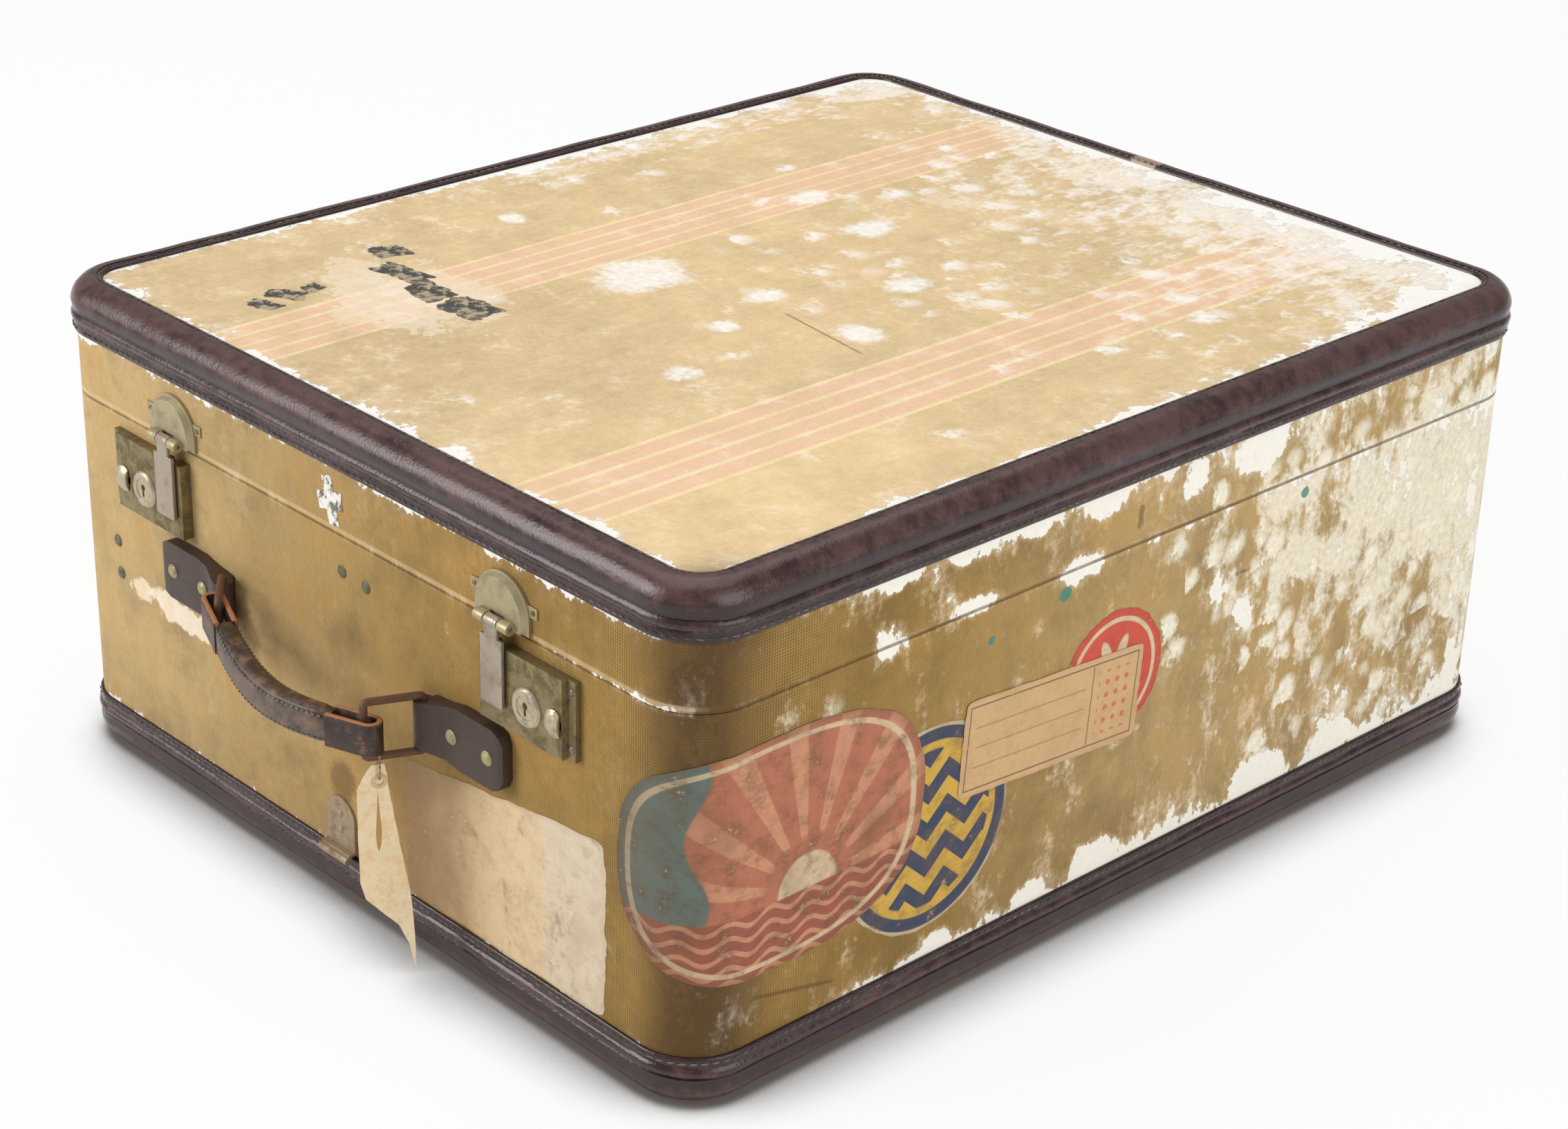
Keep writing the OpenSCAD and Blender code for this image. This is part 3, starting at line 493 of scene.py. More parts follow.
    def sound(self, c: Cloth) -> Channel:
        """Colour of the canvas where it hasn't flaked: faded on the top, browner on the walls, and soiled."""
        g = c.g
        x, y, z = c.where.axes()
        tone = 0.98 + (c.slow - 0.5) * blend(c.top, 0.5, 0.3) + (c.blot - 0.5) * blend(c.top, 1.2, 0.35)
        tone = tone + (c.streak - 0.5) * 0.2 * c.side + (c.rubs - 0.5) * 0.3 * c.top
        tone = tone + (c.fine - 0.5) * 0.3 + (c.mid - 0.5) * 0.4
        tone = tone + c.weave * (0.16 + 0.3 * x.ramp(130.0, 205.0) * y.ramp(-150.0, -240.0))
        tone = tone + c.top * y.ramp(-40.0, -200.0) * (x.ramp(0.0, 140.0) * 0.22 - 0.1)
        # Painted shade: the front wall darkens towards its right end, standing in for light from the front left; the
        # right wall darkens towards the front. The top takes its pale colour, partly fading and partly painted light
        # from above.
        shade = (x.ramp(-170.0, 120.0) * c.front).high(c.right * (1.0 - 0.75 * y.ramp(-180.0, 40.0))) * c.side
        colour = g.mix(c.top, g.mix(shade, self.ground, self.deep), self.faded)
        colour = g.mix((c.blot + (c.mid - 0.5) * 0.5).ramp(0.5, 0.7) * 0.5 * c.side, colour, self.rust)
        colour = self.stripes(c, g.tint(colour, tone))
        soil = c.bend * 1.2 + c.slow.ramp(0.52, 0.72) * 0.25 * c.side
        soil = soil + (z - self.base_rim - 2.0).fall(20.0) * 0.25 * c.side
        soil = soil + (c.rubs - 0.54).ramp(0.0, 0.2) * 0.12 * c.top
        return g.mix(soil * (0.8 + c.ruffle), colour, self.grime)

    def marks(self, c: Cloth, colour: Channel) -> Channel:
        """Rubbed patches, dirt and scratches that lie at known places, laid over a colour."""
        g, ruffle = c.g, c.ruffle
        x, y, z = c.where.axes()
        scrape = (ellipse(x, z + x * 0.05, (-124.0, 85.0), (40.0, 7.5)) + ruffle * 4.5).ramp(1.05, 0.7) * c.front
        peel = (ellipse(x, y, (-96.0, -153.0), (50.0, 33.0)) + ruffle * 6.0).ramp(1.0, 0.85) * c.top * 0.75
        colour = g.mix(scrape.high(peel) * 0.9, colour, g.mix(ruffle * 2.0 + 0.3, self.raw, self.bare))
        # Painted shadow of the handle: dark patches below the grip and below the left loop on the front wall.
        stain = ellipse(x, z, (-4.0, 58.0), (13.0, 13.0)).low(ellipse(x, z + x * 0.6, (-75.0, 60.0), (12.0, 17.0)))
        colour = g.mix((stain + ruffle * 2.4).ramp(1.0, 0.1) * c.front * 0.6, colour, self.grime)
        scratch = abs(z - 44.5 + (y + 227.0) * 0.234 + ruffle * 2.0).ramp(1.3, 0.5)
        scratch = scratch * y.ramp(-230.0, -224.0) * y.ramp(-178.0, -184.0)
        nick = abs(y + 10.3).ramp(2.2, 1.2) * abs(z - 189.0).ramp(6.0, 4.5)
        curl = abs(z - 141.0 - ((y - 72.0) * 0.12).exp() + ruffle).ramp(0.9, 0.3)
        curl = curl * y.ramp(50.0, 54.0) * y.ramp(89.0, 87.0)
        cut = abs(y + 36.0 + (x - 30.0) * 0.13 + ruffle).ramp(0.9, 0.3) * x.ramp(24.0, 30.0) * x.ramp(86.0, 80.0)
        lines = (scratch.high(nick).high(curl) * c.right).high(cut * c.top)
        return g.mix(lines * 0.6, colour, self.grime)

    def seams(self, c: Cloth, worn: Channel, colour: Channel) -> Channel:
        """The lid's pale lip, the gap below it, the fraying round it and thin wear, laid over a colour."""
        z = c.where.axes()[2]
        beside = (1.0 - c.right) * c.side
        # Painted highlight and wear on the lid's raised lip, and painted shade in the gap below it.
        lip = abs(z - self.seam - 1.5).ramp(1.5, 0.6) * beside * (0.12 + c.mid * 0.55)
        gap = abs(z - self.seam + 0.1).ramp(0.9, 0.4) * beside * 0.5
        colour = c.g.mix(gap, c.g.mix(lip, colour, c.g.tint(self.faded, 1.05)), self.grime)
        frayed = abs(z - self.seam).ramp(2.6, 0.5) * c.side * (c.mid + c.streak).ramp(0.95, 1.25)
        veil = worn.ramp(-0.15, 0.55) * (0.3 + c.ruffle) * (1.0 - 0.75 * c.bend.high(c.front))
        return c.g.mix((frayed * 0.4).high(veil).high(0.0), colour, self.raw)

    def spots(self, c: Cloth, colour: Channel) -> Channel:
        """Specks of paint and the dark seam of the lid on the right wall, laid over a colour."""
        _, y, z = c.where.axes()
        for py, pz, wide in self.specks:
            speck = ellipse(y, z, (py, pz), (wide, wide)) + c.ruffle * 2.0
            colour = c.g.mix(speck.ramp(1.0, 0.7) * c.right * 0.85, colour, self.teal)
        # Painted shade along the gap of the lid's seam on the right wall.
        return c.g.mix(abs(z - self.seam - 0.1).ramp(0.85, 0.4) * c.right * (0.7 + c.ruffle), colour, self.grime)

    def material(self, name: str, middle: Point) -> bpy.types.Material:
        """Makes the finish.

        Args:
            name: the material's name.
            middle: centre of the case on the floor, in metres.

        Returns:
            The material.
        """
        g = Graph(name)
        c = self.cloth(g, middle)
        worn = self.wear(c)
        flake = worn.ramp(0.5, 0.6)
        thin = self.dabbed(c).high(self.flecked(c))
        white = flake.high(thin * (0.5 + c.fine * 0.75 + c.weave * 0.1))
        pale = g.mix((c.mid - 0.46).ramp(0.0, 0.3) * 0.5 * (1.0 - flake * 0.7), self.bare, self.raw)
        pale = g.mix(c.right * (0.75 - flake * 0.4), pale, self.cream)
        colour = self.seams(c, worn, self.marks(c, self.sound(c)))
        colour = g.mix(white * (0.97 - c.bend * 0.25), colour, g.tint(pale, 0.9 + c.fine * 0.18))
        height = c.weave * 0.12 * (1.0 - white * 0.8) + c.fine * 0.12 - flake * 0.22
        return g.feed(
            Base_Color=self.spots(c, colour),
            Roughness=0.6 + white * 0.25 + c.fine * 0.12,
            Specular_IOR_Level=0.18,
            Normal=g.relief(height, 0.85),
        )


@dataclass(frozen=True)
class LeatherFinish:
    """Old leather with grain, scuffs on what stands out, and raw tan edges where the mesh marks them."""

    skin: RGB
    # Lighter colour of what stands out: partly scuffed leather, partly a painted highlight.
    worn: RGB
    raw: RGB = (0.38, 0.15, 0.05)
    rough: float = 0.42
    scuff: float = 0.5
    grain: float = 1.4
    mottle: float = 1.0
    bleed: float = 0.0
    mend: RGB = (0.46, 0.33, 0.24)
    mend_half: Point = (9.0, 16.0, 14.0)

    def material(self, name: str, middle: Point, patch: Point | None = None) -> bpy.types.Material:
        """Makes the finish.

        Args:
            name: the material's name.
            middle: centre of the case on the floor, in metres.
            patch: middle of a mended spot in millimetres, if there is one.

        Returns:
            The material.
        """
        g = Graph(name)
        where = g.place(middle)
        slow, mid = g.cloud(where, 40.0, 4.0), g.cloud(where, 7.0, 6.0, 0.65)
        pores = g.cells(where, self.grain)
        crack = g.cloud(where, 3.0, 6.0, 0.7, (0.35, 0.35, 1.3))
        ridge, edge, _ = g.stored("marks").axes()
        # Lighter on the ridges that the mesh marks: partly scuffs, partly a painted highlight.
        rub_and_highlight = (ridge * 0.8 + (mid - 0.5) * 2.0 * self.mottle + (slow - 0.5) * 1.2).ramp(0.3, 1.0) * self.scuff
        colour = g.tint(g.mix(rub_and_highlight, self.skin, self.worn), 1.0 + (mid - 0.5) * 0.8 * self.mottle)
        colour = g.mix(crack.ramp(0.56, 0.68) * 0.5, colour, self.skin)
        colour = g.mix((crack + (mid - 0.5)).ramp(0.56, 0.7) * self.bleed, colour, self.raw)
        colour = g.mix((edge + (mid - 0.5) * 0.8).ramp(0.42, 0.62), colour, self.raw)
        if patch is not None:
            gap = (mid - 0.5) * 1.4
            for axis, at, half in zip(where.axes(), patch, self.mend_half):
                gap = gap + ((axis - at) / half) ** 2.0
            colour = g.mix(gap.ramp(1.1, 0.7) * 0.85, colour, self.mend)
        height = pores * 0.1 + crack * 0.16 + mid * 0.1
        return g.feed(
            Base_Color=colour,
            Roughness=self.rough + rub_and_highlight * 0.3 + (mid - 0.5) * 0.2 + edge * 0.25,
            Normal=g.relief(height, 0.7),
        )


@dataclass(frozen=True)
class MetalFinish:
    """Plated or bare metal with tarnish in clouds of about lump millimetres, and fine scratches."""

    bright: RGB
    tarnish: RGB
    metallic: float = 0.85
    rough: float = 0.36
    spread: float = 0.5
    lump: float = 6.0

    def material(self, name: str) -> bpy.types.Material:
        """Makes the finish under that name and returns it."""
        g = Graph(name)
        where = g.place()
        cloud, speck = g.cloud(where, self.lump, 6.0, 0.65), g.cloud(where, 0.9, 4.0, 0.6)
        lines = g.cloud(where, 1.6, 4.0, 0.6, (0.15, 1.0, 2.4))
        old = (cloud + (speck - 0.5) * 0.35).ramp(0.72 - self.spread * 0.5, 0.86 - self.spread * 0.35)
        colour = g.tint(g.mix(old, self.bright, self.tarnish), 0.85 + speck * 0.3)
        return g.feed(
            Base_Color=colour,
            Metallic=self.metallic - old * self.metallic * 0.55,
            Roughness=self.rough + old * 0.3 + (lines - 0.5) * 0.25,
            Normal=g.relief(speck * 0.05 + lines * 0.05 + cloud * 0.1, 0.6),
        )


@dataclass(frozen=True)
class BoardFinish:
    """Fibreboard, paper lining or fibre, with an optional fine printed check."""

    base: RGB
    fleck: RGB
    line: RGB = (0.5, 0.38, 0.26)
    check: float = 0.0

    def material(self, name: str, middle: Point = (0.0, 0.0, 0.0)) -> bpy.types.Material:
        """Makes the finish under that name, measured from the middle, and returns it."""
        g = Graph(name)
        where = g.place(middle)
        x, y, z = where.axes()
        mid, fine = g.cloud(where, 30.0, 5.0, 0.6), g.cloud(where, 1.8, 5.0, 0.7)
        colour = g.mix((fine - 0.5) * 1.8 + 0.4, self.base, self.fleck)
        if self.check:
            rows = [abs((axis / self.check).part() - 0.5).ramp(0.42, 0.47) for axis in (x, y, z)]
            both = rows[0] * 0.5 + rows[1] * 0.5 + rows[2] * 0.4
            colour = g.mix(both.low(0.7) * (0.4 + mid * 0.6), colour, self.line)
        colour = g.tint(colour, 0.82 + mid * 0.36)
        return g.feed(
            Base_Color=colour, Roughness=0.72 + fine * 0.2, Normal=g.relief(fine * 0.12, 0.7)
        )


@dataclass(frozen=True)
class ThreadFinish:
    """Waxed thread or string with a twist."""

    pale: RGB
    dark: RGB

    def material(self, name: str) -> bpy.types.Material:
        """Makes the finish under that name and returns it."""
        g = Graph(name)
        where = g.place()
        x, y, z = where.axes()
        soil = g.cloud(where, 22.0, 5.0, 0.7)
        ply = ((x + y + z) * 7.0).sin() * 0.5 + 0.5
        colour = g.tint(g.mix(soil.ramp(0.4, 0.62), self.pale, self.dark), 0.75 + ply * 0.4)
        return g.feed(Base_Color=colour, Roughness=0.7 + ply * 0.2, Normal=g.relief(ply * 0.15, 0.8))


@dataclass(frozen=True)
class PaperFinish:
    """Old paper with a plain printed motif, read from the sheet's own millimetres."""

    paper: RGB
    ink: RGB
    second: RGB
    motif: Motif
    half: Pair
    stain: RGB = (0.3, 0.19, 0.09)
    soil: float = 0.35

    def sunrise(self, g: Graph, u: Channel, v: Channel) -> Channel:
        """Soft rays over wavy lines, with a plain sky at one end and a thin pale border."""
        a, b = self.half
        warm, dusk = (0.72, 0.38, 0.21), (0.34, 0.095, 0.055)
        aside, above = u - 14.0, v + 0.42 * b
        reach = (aside * aside + above * above).root()
        rays = (above.angle(aside) * 16.0).sin().ramp(0.2, 0.5) * reach.ramp(0.42 * b, 0.5 * b)
        sea = above.ramp(0.4, -0.4)
        waves = ((v + (u * 0.3).sin() * 2.0) * 0.95).sin().ramp(0.3, 0.6)
        sky = (u + (v * 0.11).sin() * 5.0).ramp(-0.5 * a, -0.52 * a) * (1.0 - sea)
        around = ((abs(u) / a) ** CUSHION + (abs(v) / b) ** CUSHION) ** (1.0 / CUSHION)
        line = around.ramp(0.895, 0.905) * around.ramp(0.945, 0.935)
        colour = g.mix(rays * 0.5, self.ink, warm)
        colour = g.mix(reach.ramp(0.32 * b, 0.29 * b) * 0.85, colour, self.paper)
        colour = g.mix(sea, colour, g.mix(waves * 0.6, dusk, warm))
        colour = g.mix(sky * 0.9, colour, self.second)
        colour = g.mix(line * 0.8, colour, self.paper)
        return g.mix(u.ramp(-0.25 * a, -0.95 * a) * 0.5, colour, self.stain)

    def chevron(self, g: Graph, u: Channel, v: Channel) -> Channel:
        """Zigzag stripes inside a dark ring."""
        around = ellipse(u, v, (0.0, 0.0), self.half).root()
        zigzag = abs(((v + abs((u / 22.0).part() - 0.5) * 20.0) / 17.0).part() - 0.5).ramp(0.24, 0.27)
        colour = g.mix(zigzag, self.ink, self.second)
        colour = g.mix(around.ramp(0.76, 0.78), colour, self.second)
        colour = g.mix(around.ramp(0.84, 0.855), colour, self.ink)
        return g.mix(around.ramp(0.965, 0.975), colour, self.paper)

    def petals(self, g: Graph, u: Channel, v: Channel) -> Channel:
        """Eight pale petals inside a pale ring."""
        around = ellipse(u, v, (0.0, 0.0), self.half).root()
        lobes = (v.angle(u) * 8.0).sin() * 0.16 + 0.46
        colour = g.mix((around - lobes).ramp(0.03, -0.03), self.ink, self.paper)
        colour = g.mix(around.ramp(0.18, 0.16), colour, self.ink)
        ring = around.ramp(0.8, 0.82) * around.ramp(0.89, 0.87)
        return g.mix(ring, colour, self.paper)

    def ruled(self, g: Graph, u: Channel, v: Channel) -> Channel:
        """Thin border, a dotted column and a few faint rules."""
        a, b = self.half
        inset = (a - abs(u)).low(b - abs(v))
        border = inset.ramp(2.6, 2.8) * inset.ramp(3.5, 3.3)
        column = (u - 0.42 * a).ramp(0.0, 0.3) * (u - 0.42 * a).ramp(0.9, 0.6)
        inside = inset.ramp(3.6, 3.8)
        rules = abs((v / 9.0).part() - 0.5).ramp(0.455, 0.475) * inset.ramp(7.0, 7.4) * u.ramp(0.36 * a, 0.35 * a)
        dots = ellipse((u / 6.0).part(), (v / 6.0).part(), (0.5, 0.5), (1.0, 1.0)).root().ramp(0.24, 0.2)
        dots = dots * u.ramp(0.5 * a, 0.51 * a) * inset.ramp(7.0, 7.4)
        colour = g.mix(dots * 0.75, self.paper, self.second)
        return g.mix(border.high(column * inside).high(rules * 0.55) * 0.8, colour, self.ink)

    def blank(self, g: Graph, u: Channel, v: Channel) -> Channel:
        """Bare paper that is browned towards one end and rubbed pale at the other."""
        blot, spread = g.cloud(g.stored("sheet"), 26.0), g.cloud(g.stored("sheet"), 8.0, 6.0, 0.7)
        # Darker towards the tag's side: partly a stain, partly the tag's painted shadow.
        stain_and_shadow_brown = (u + (blot - 0.5) * 42.0).ramp(-10.0, -60.0)
        colour = g.mix(u.ramp(-44.0, 18.0), (0.56, 0.39, 0.2), self.paper)
        colour = g.mix(stain_and_shadow_brown * 0.85, colour, self.ink)
        colour = g.mix((u + (spread - 0.5) * 9.0).ramp(24.0, 29.0) * (0.35 + spread * 0.6), colour, self.second)
        return g.mix((spread + blot).ramp(1.08, 1.3) * 0.55, colour, self.ink)

    def scrap(self, g: Graph, u: Channel, v: Channel) -> Channel:
        """Torn remnant with smudges of a second ink."""
        smudge = g.cloud(g.stored("sheet"), 6.0, 6.0, 0.75).ramp(0.5, 0.57)
        return g.mix(smudge, self.ink, self.second)

    def material(self, name: str) -> bpy.types.Material:
        """Makes the finish under that name and returns it."""
        g = Graph(name)
        sheet = g.stored("sheet")
        u, v, rim = sheet.axes()
        colour = getattr(self, self.motif.value)(g, u, v)
        mid, fine = g.cloud(sheet, 11.0, 6.0, 0.65), g.cloud(sheet, 1.7, 5.0, 0.7)
        scratch = g.cloud(sheet, 2.4, 5.0, 0.7, (0.12, 1.6, 1.0))
        aged = (mid.ramp(0.42, 0.7) * 0.75 + (scratch - 0.5) * 0.9).high(0.0) * self.soil
        edges = rim.ramp(0.92, 1.0) * (0.2 + mid * 0.6) + g.cloud(sheet, 34.0).ramp(0.5, 0.75) * 0.7
        aged = aged.high(edges * self.soil).high((fine + mid * 0.8 + (scratch - 0.5)).ramp(1.08, 1.2) * self.soil)
        colour = g.mix(aged, colour, self.stain)
        rub = ((fine - 0.5) * 0.9 + (mid - 0.5)).ramp(0.16, 0.3) * 0.5
        colour = g.tint(g.mix(rub, colour, self.paper), 0.86 + fine * 0.28)
        return g.feed(
            Base_Color=colour, Roughness=0.62 + mid * 0.25, Normal=g.relief(mid * 0.16 + fine * 0.06, 0.7)
        )


@dataclass
class Piece:
    """A finished mesh in millimetres, ready to become an object that rides on a body."""

    name: str
    body: str
    slot: str
    verts: list[Sequence[float]] = field(default_factory=list)
    faces: list[Sequence[int]] = field(default_factory=list)
    sheet: list[Point] = field(default_factory=list)
    marks: list[Point] = field(default_factory=list)

    def tube(self, rings: Sequence[Sequence[Sequence[float]]], closed: bool = False) -> None:
        """Joins rings of points into a tube; an open tube gets its two ends."""
        start, wide, long = len(self.verts), len(rings[0]), len(rings)
        self.verts.extend(point for ring in rings for point in ring)
        for i in range(long if closed else long - 1):
            a, b = start + i * wide, start + (i + 1) % long * wide
            for k in range(wide):
                n = (k + 1) % wide
                self.faces.append((a + k, a + n, b + n, b + k))
        if not closed:
            first, last = range(start, start + wide), range(len(self.verts) - wide, len(self.verts))
            self.faces.extend((first[::-1], last))

    def build(self, material: bpy.types.Material, *nodes: str, sharp: float = 40.0) -> bpy.types.Object:
        """Makes the object.

        Args:
            material: its finish.
            nodes: CAD nodes that it stands for.
            sharp: angle in degrees above which an edge stays sharp.

        Returns:
            The object, riding on its body.
        """
        mesh = bpy.data.meshes.new(self.name)
        mesh.from_pydata([[c * MM for c in v] for v in self.verts], [], [list(f) for f in self.faces])
        for name, values in (("sheet", self.sheet), ("marks", self.marks)):
            if values:
                store = mesh.attributes.new(name, "FLOAT_VECTOR", "POINT")
                store.data.foreach_set("vector", [c for value in values for c in value])
        return dress(stand(self.name, mesh), self.body, self.slot, material, *nodes, sharp=sharp)


def turns(count: int) -> list[Pair]:
    """Cosine and sine of equal steps round a circle."""
    return [(math.cos(math.tau * k / count), math.sin(math.tau * k / count)) for k in range(count)]


def stand(name: str, data: bpy.types.ID) -> bpy.types.Object:
    """Stands an object with that data in the scene."""
    obj = bpy.data.objects.new(name, data)
    bpy.context.scene.collection.objects.link(obj)
    return obj


def dress(
    obj: bpy.types.Object, body: str, slot: str, material: bpy.types.Material, *nodes: str, sharp: float = 40.0
) -> bpy.types.Object:
    """Cleans a new mesh, gives it its finish and lets it ride.

    Args:
        obj: the object, in the frame of the part.
        body: CAD body that it rides on.
        slot: material slot of the record.
        material: its finish.
        nodes: CAD nodes that it stands for.
        sharp: angle in degrees above which an edge stays sharp.

    Returns:
        The same object.
    """
    work = bmesh.new()
    work.from_mesh(obj.data)
    bmesh.ops.recalc_face_normals(work, faces=work.faces)
    work.to_mesh(obj.data)
    work.free()
    obj.data.shade_smooth()
    obj.data.set_sharp_from_angle(angle=math.radians(sharp))
    obj.data.materials.clear()
    obj.data.materials.append(material)
    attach(obj, body)
    if nodes:
        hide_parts(*nodes)
    LOG.info("piece %s on %s: %d faces", obj.name, body, len(obj.data.polygons))
    return obj


def paint(frame: dict, material: bpy.types.Material, *nodes: str) -> None:
    """Gives CAD nodes a finish."""
    for node in nodes:
        frame["nodes"][node].data.materials.clear()
        frame["nodes"][node].data.materials.append(material)
        LOG.info("node %s: %s", node, material.name)


def soften(frame: dict, node: str, body: str, slot: str, material: bpy.types.Material, width: float) -> None:
    """Stands a copy with rounded edges in for a CAD node.

    Args:
        frame: the loaded frame.
        node: the CAD node.
        body: CAD body that it rides on.
        slot: material slot of the record.
        material: its finish.
        width: width of the rounding in millimetres.
    """
    work = bmesh.new()
    work.from_mesh(frame["nodes"][node].data)
    bmesh.ops.remove_doubles(work, verts=work.verts, dist=WELD)
    bmesh.ops.dissolve_limit(work, angle_limit=FLAT_ANGLE, verts=work.verts, edges=work.edges)
    hard = [e for e in work.edges if e.is_manifold and e.calc_face_angle() > HARD_ANGLE]
    bmesh.ops.bevel(work, geom=hard, offset=width * MM, segments=3, profile=0.5, affect="EDGES", clamp_overlap=True)
    bmesh.ops.triangulate(work, faces=[f for f in work.faces if len(f.verts) > 4])
    mesh = bpy.data.meshes.new(node + "_worn")
    work.to_mesh(mesh)
    work.free()
    dress(stand(mesh.name, mesh), body, slot, material, node, sharp=32.0)


@dataclass
class Case:
    """Sizes of the case and the way round its walls; skin is how far the canvas lies out from the core."""

    wide: float = 440.0
    deep: float = 522.0
    high: float = 230.0
    corner: float = 29.0
    skin: float = 27.0
    middle_y: float = 0.0

    @property
    def middle(self) -> Point:
        """Centre of the case on the floor, in metres."""
        return (0.0, self.middle_y * MM, 0.0)

    @property
    def core(self) -> Pair:
        """Half sizes of the rectangle of corner centres."""
        return self.wide / 2 - self.corner, self.deep / 2 - self.corner

    def loop(self, step: float) -> list[Station]:
        """Stations round the case.

        Args:
            step: greatest distance between stations on the straight sides.

        Returns:
            Core point x and y, outward normal x and y, and the run at the canvas, for each station.
        """
        cx, cy = self.core
        stations: list[Station] = []
        run = 0.0
        corners = [(cx, -cy, -90.0), (cx, cy, 0.0), (-cx, cy, 90.0), (-cx, -cy, 180.0)]
        bends = 16
        for i, (x, y, start) in enumerate(corners):
            for k in range(bends + 1):
                a = math.radians(start + 90.0 * k / bends)
                stations.append((x, y, math.cos(a), math.sin(a), run + self.skin * math.pi / 2 * k / bends))
            run += self.skin * math.pi / 2
            nx, ny, _ = corners[(i + 1) % 4]
            span = math.hypot(nx - x, ny - y)
            count = math.ceil(span / step)
            a = math.radians(start + 90.0)
            for k in range(1, count):
                t = k / count
                stations.append((x + (nx - x) * t, y + (ny - y) * t, math.cos(a), math.sin(a), run + span * t))
            run += span
        return stations

    def at(self, station: Sequence[float], out: float, z: float) -> Point:
        """Point at a station, out from the core and at a height."""
        return (station[0] + station[2] * out, station[1] + station[3] * out + self.middle_y, z)

    def wall(self, s: float, z: float, lift: float) -> Point:
        """Point on the canvas: s is the run from the front's right end, positive round the right corner."""
        cx, cy = self.core
        n = self.skin + lift
        bend = self.skin * math.pi / 2
        if s <= 0.0:
            return (cx + s, self.middle_y - cy - n, z)
        if s < bend:
            a = s / self.skin
            return (cx + n * math.sin(a), self.middle_y - cy - n * math.cos(a), z)
        return (cx + n, self.middle_y - cy + s - bend, z)

    def top(self, x: float, y: float, lift: float) -> Point:
        """Point on the lid's top canvas."""
        return (x, y + self.middle_y, self.high - self.corner + self.skin + lift)

    def dress(self, frame: dict) -> None:
        """Finishes the canvas, boards, linings and lip."""
        canvas = CanvasFinish().material("canvas", self.middle)
        paint(frame, canvas, "base_canvas", "lid_canvas")
        board = BoardFinish((0.4, 0.28, 0.17), (0.52, 0.39, 0.26)).material("fibreboard")
        paint(frame, board, "base_board", "lid_board", "base_band", "lid_band")
        lining = BoardFinish((0.66, 0.57, 0.43), (0.74, 0.66, 0.52), check=13.0).material("lining", self.middle)
        paint(frame, lining, "base_lining", "lid_lining")
        lip = BoardFinish((0.6, 0.5, 0.36), (0.68, 0.59, 0.45)).material("lip_cover")
        paint(frame, lip, "base_lip")


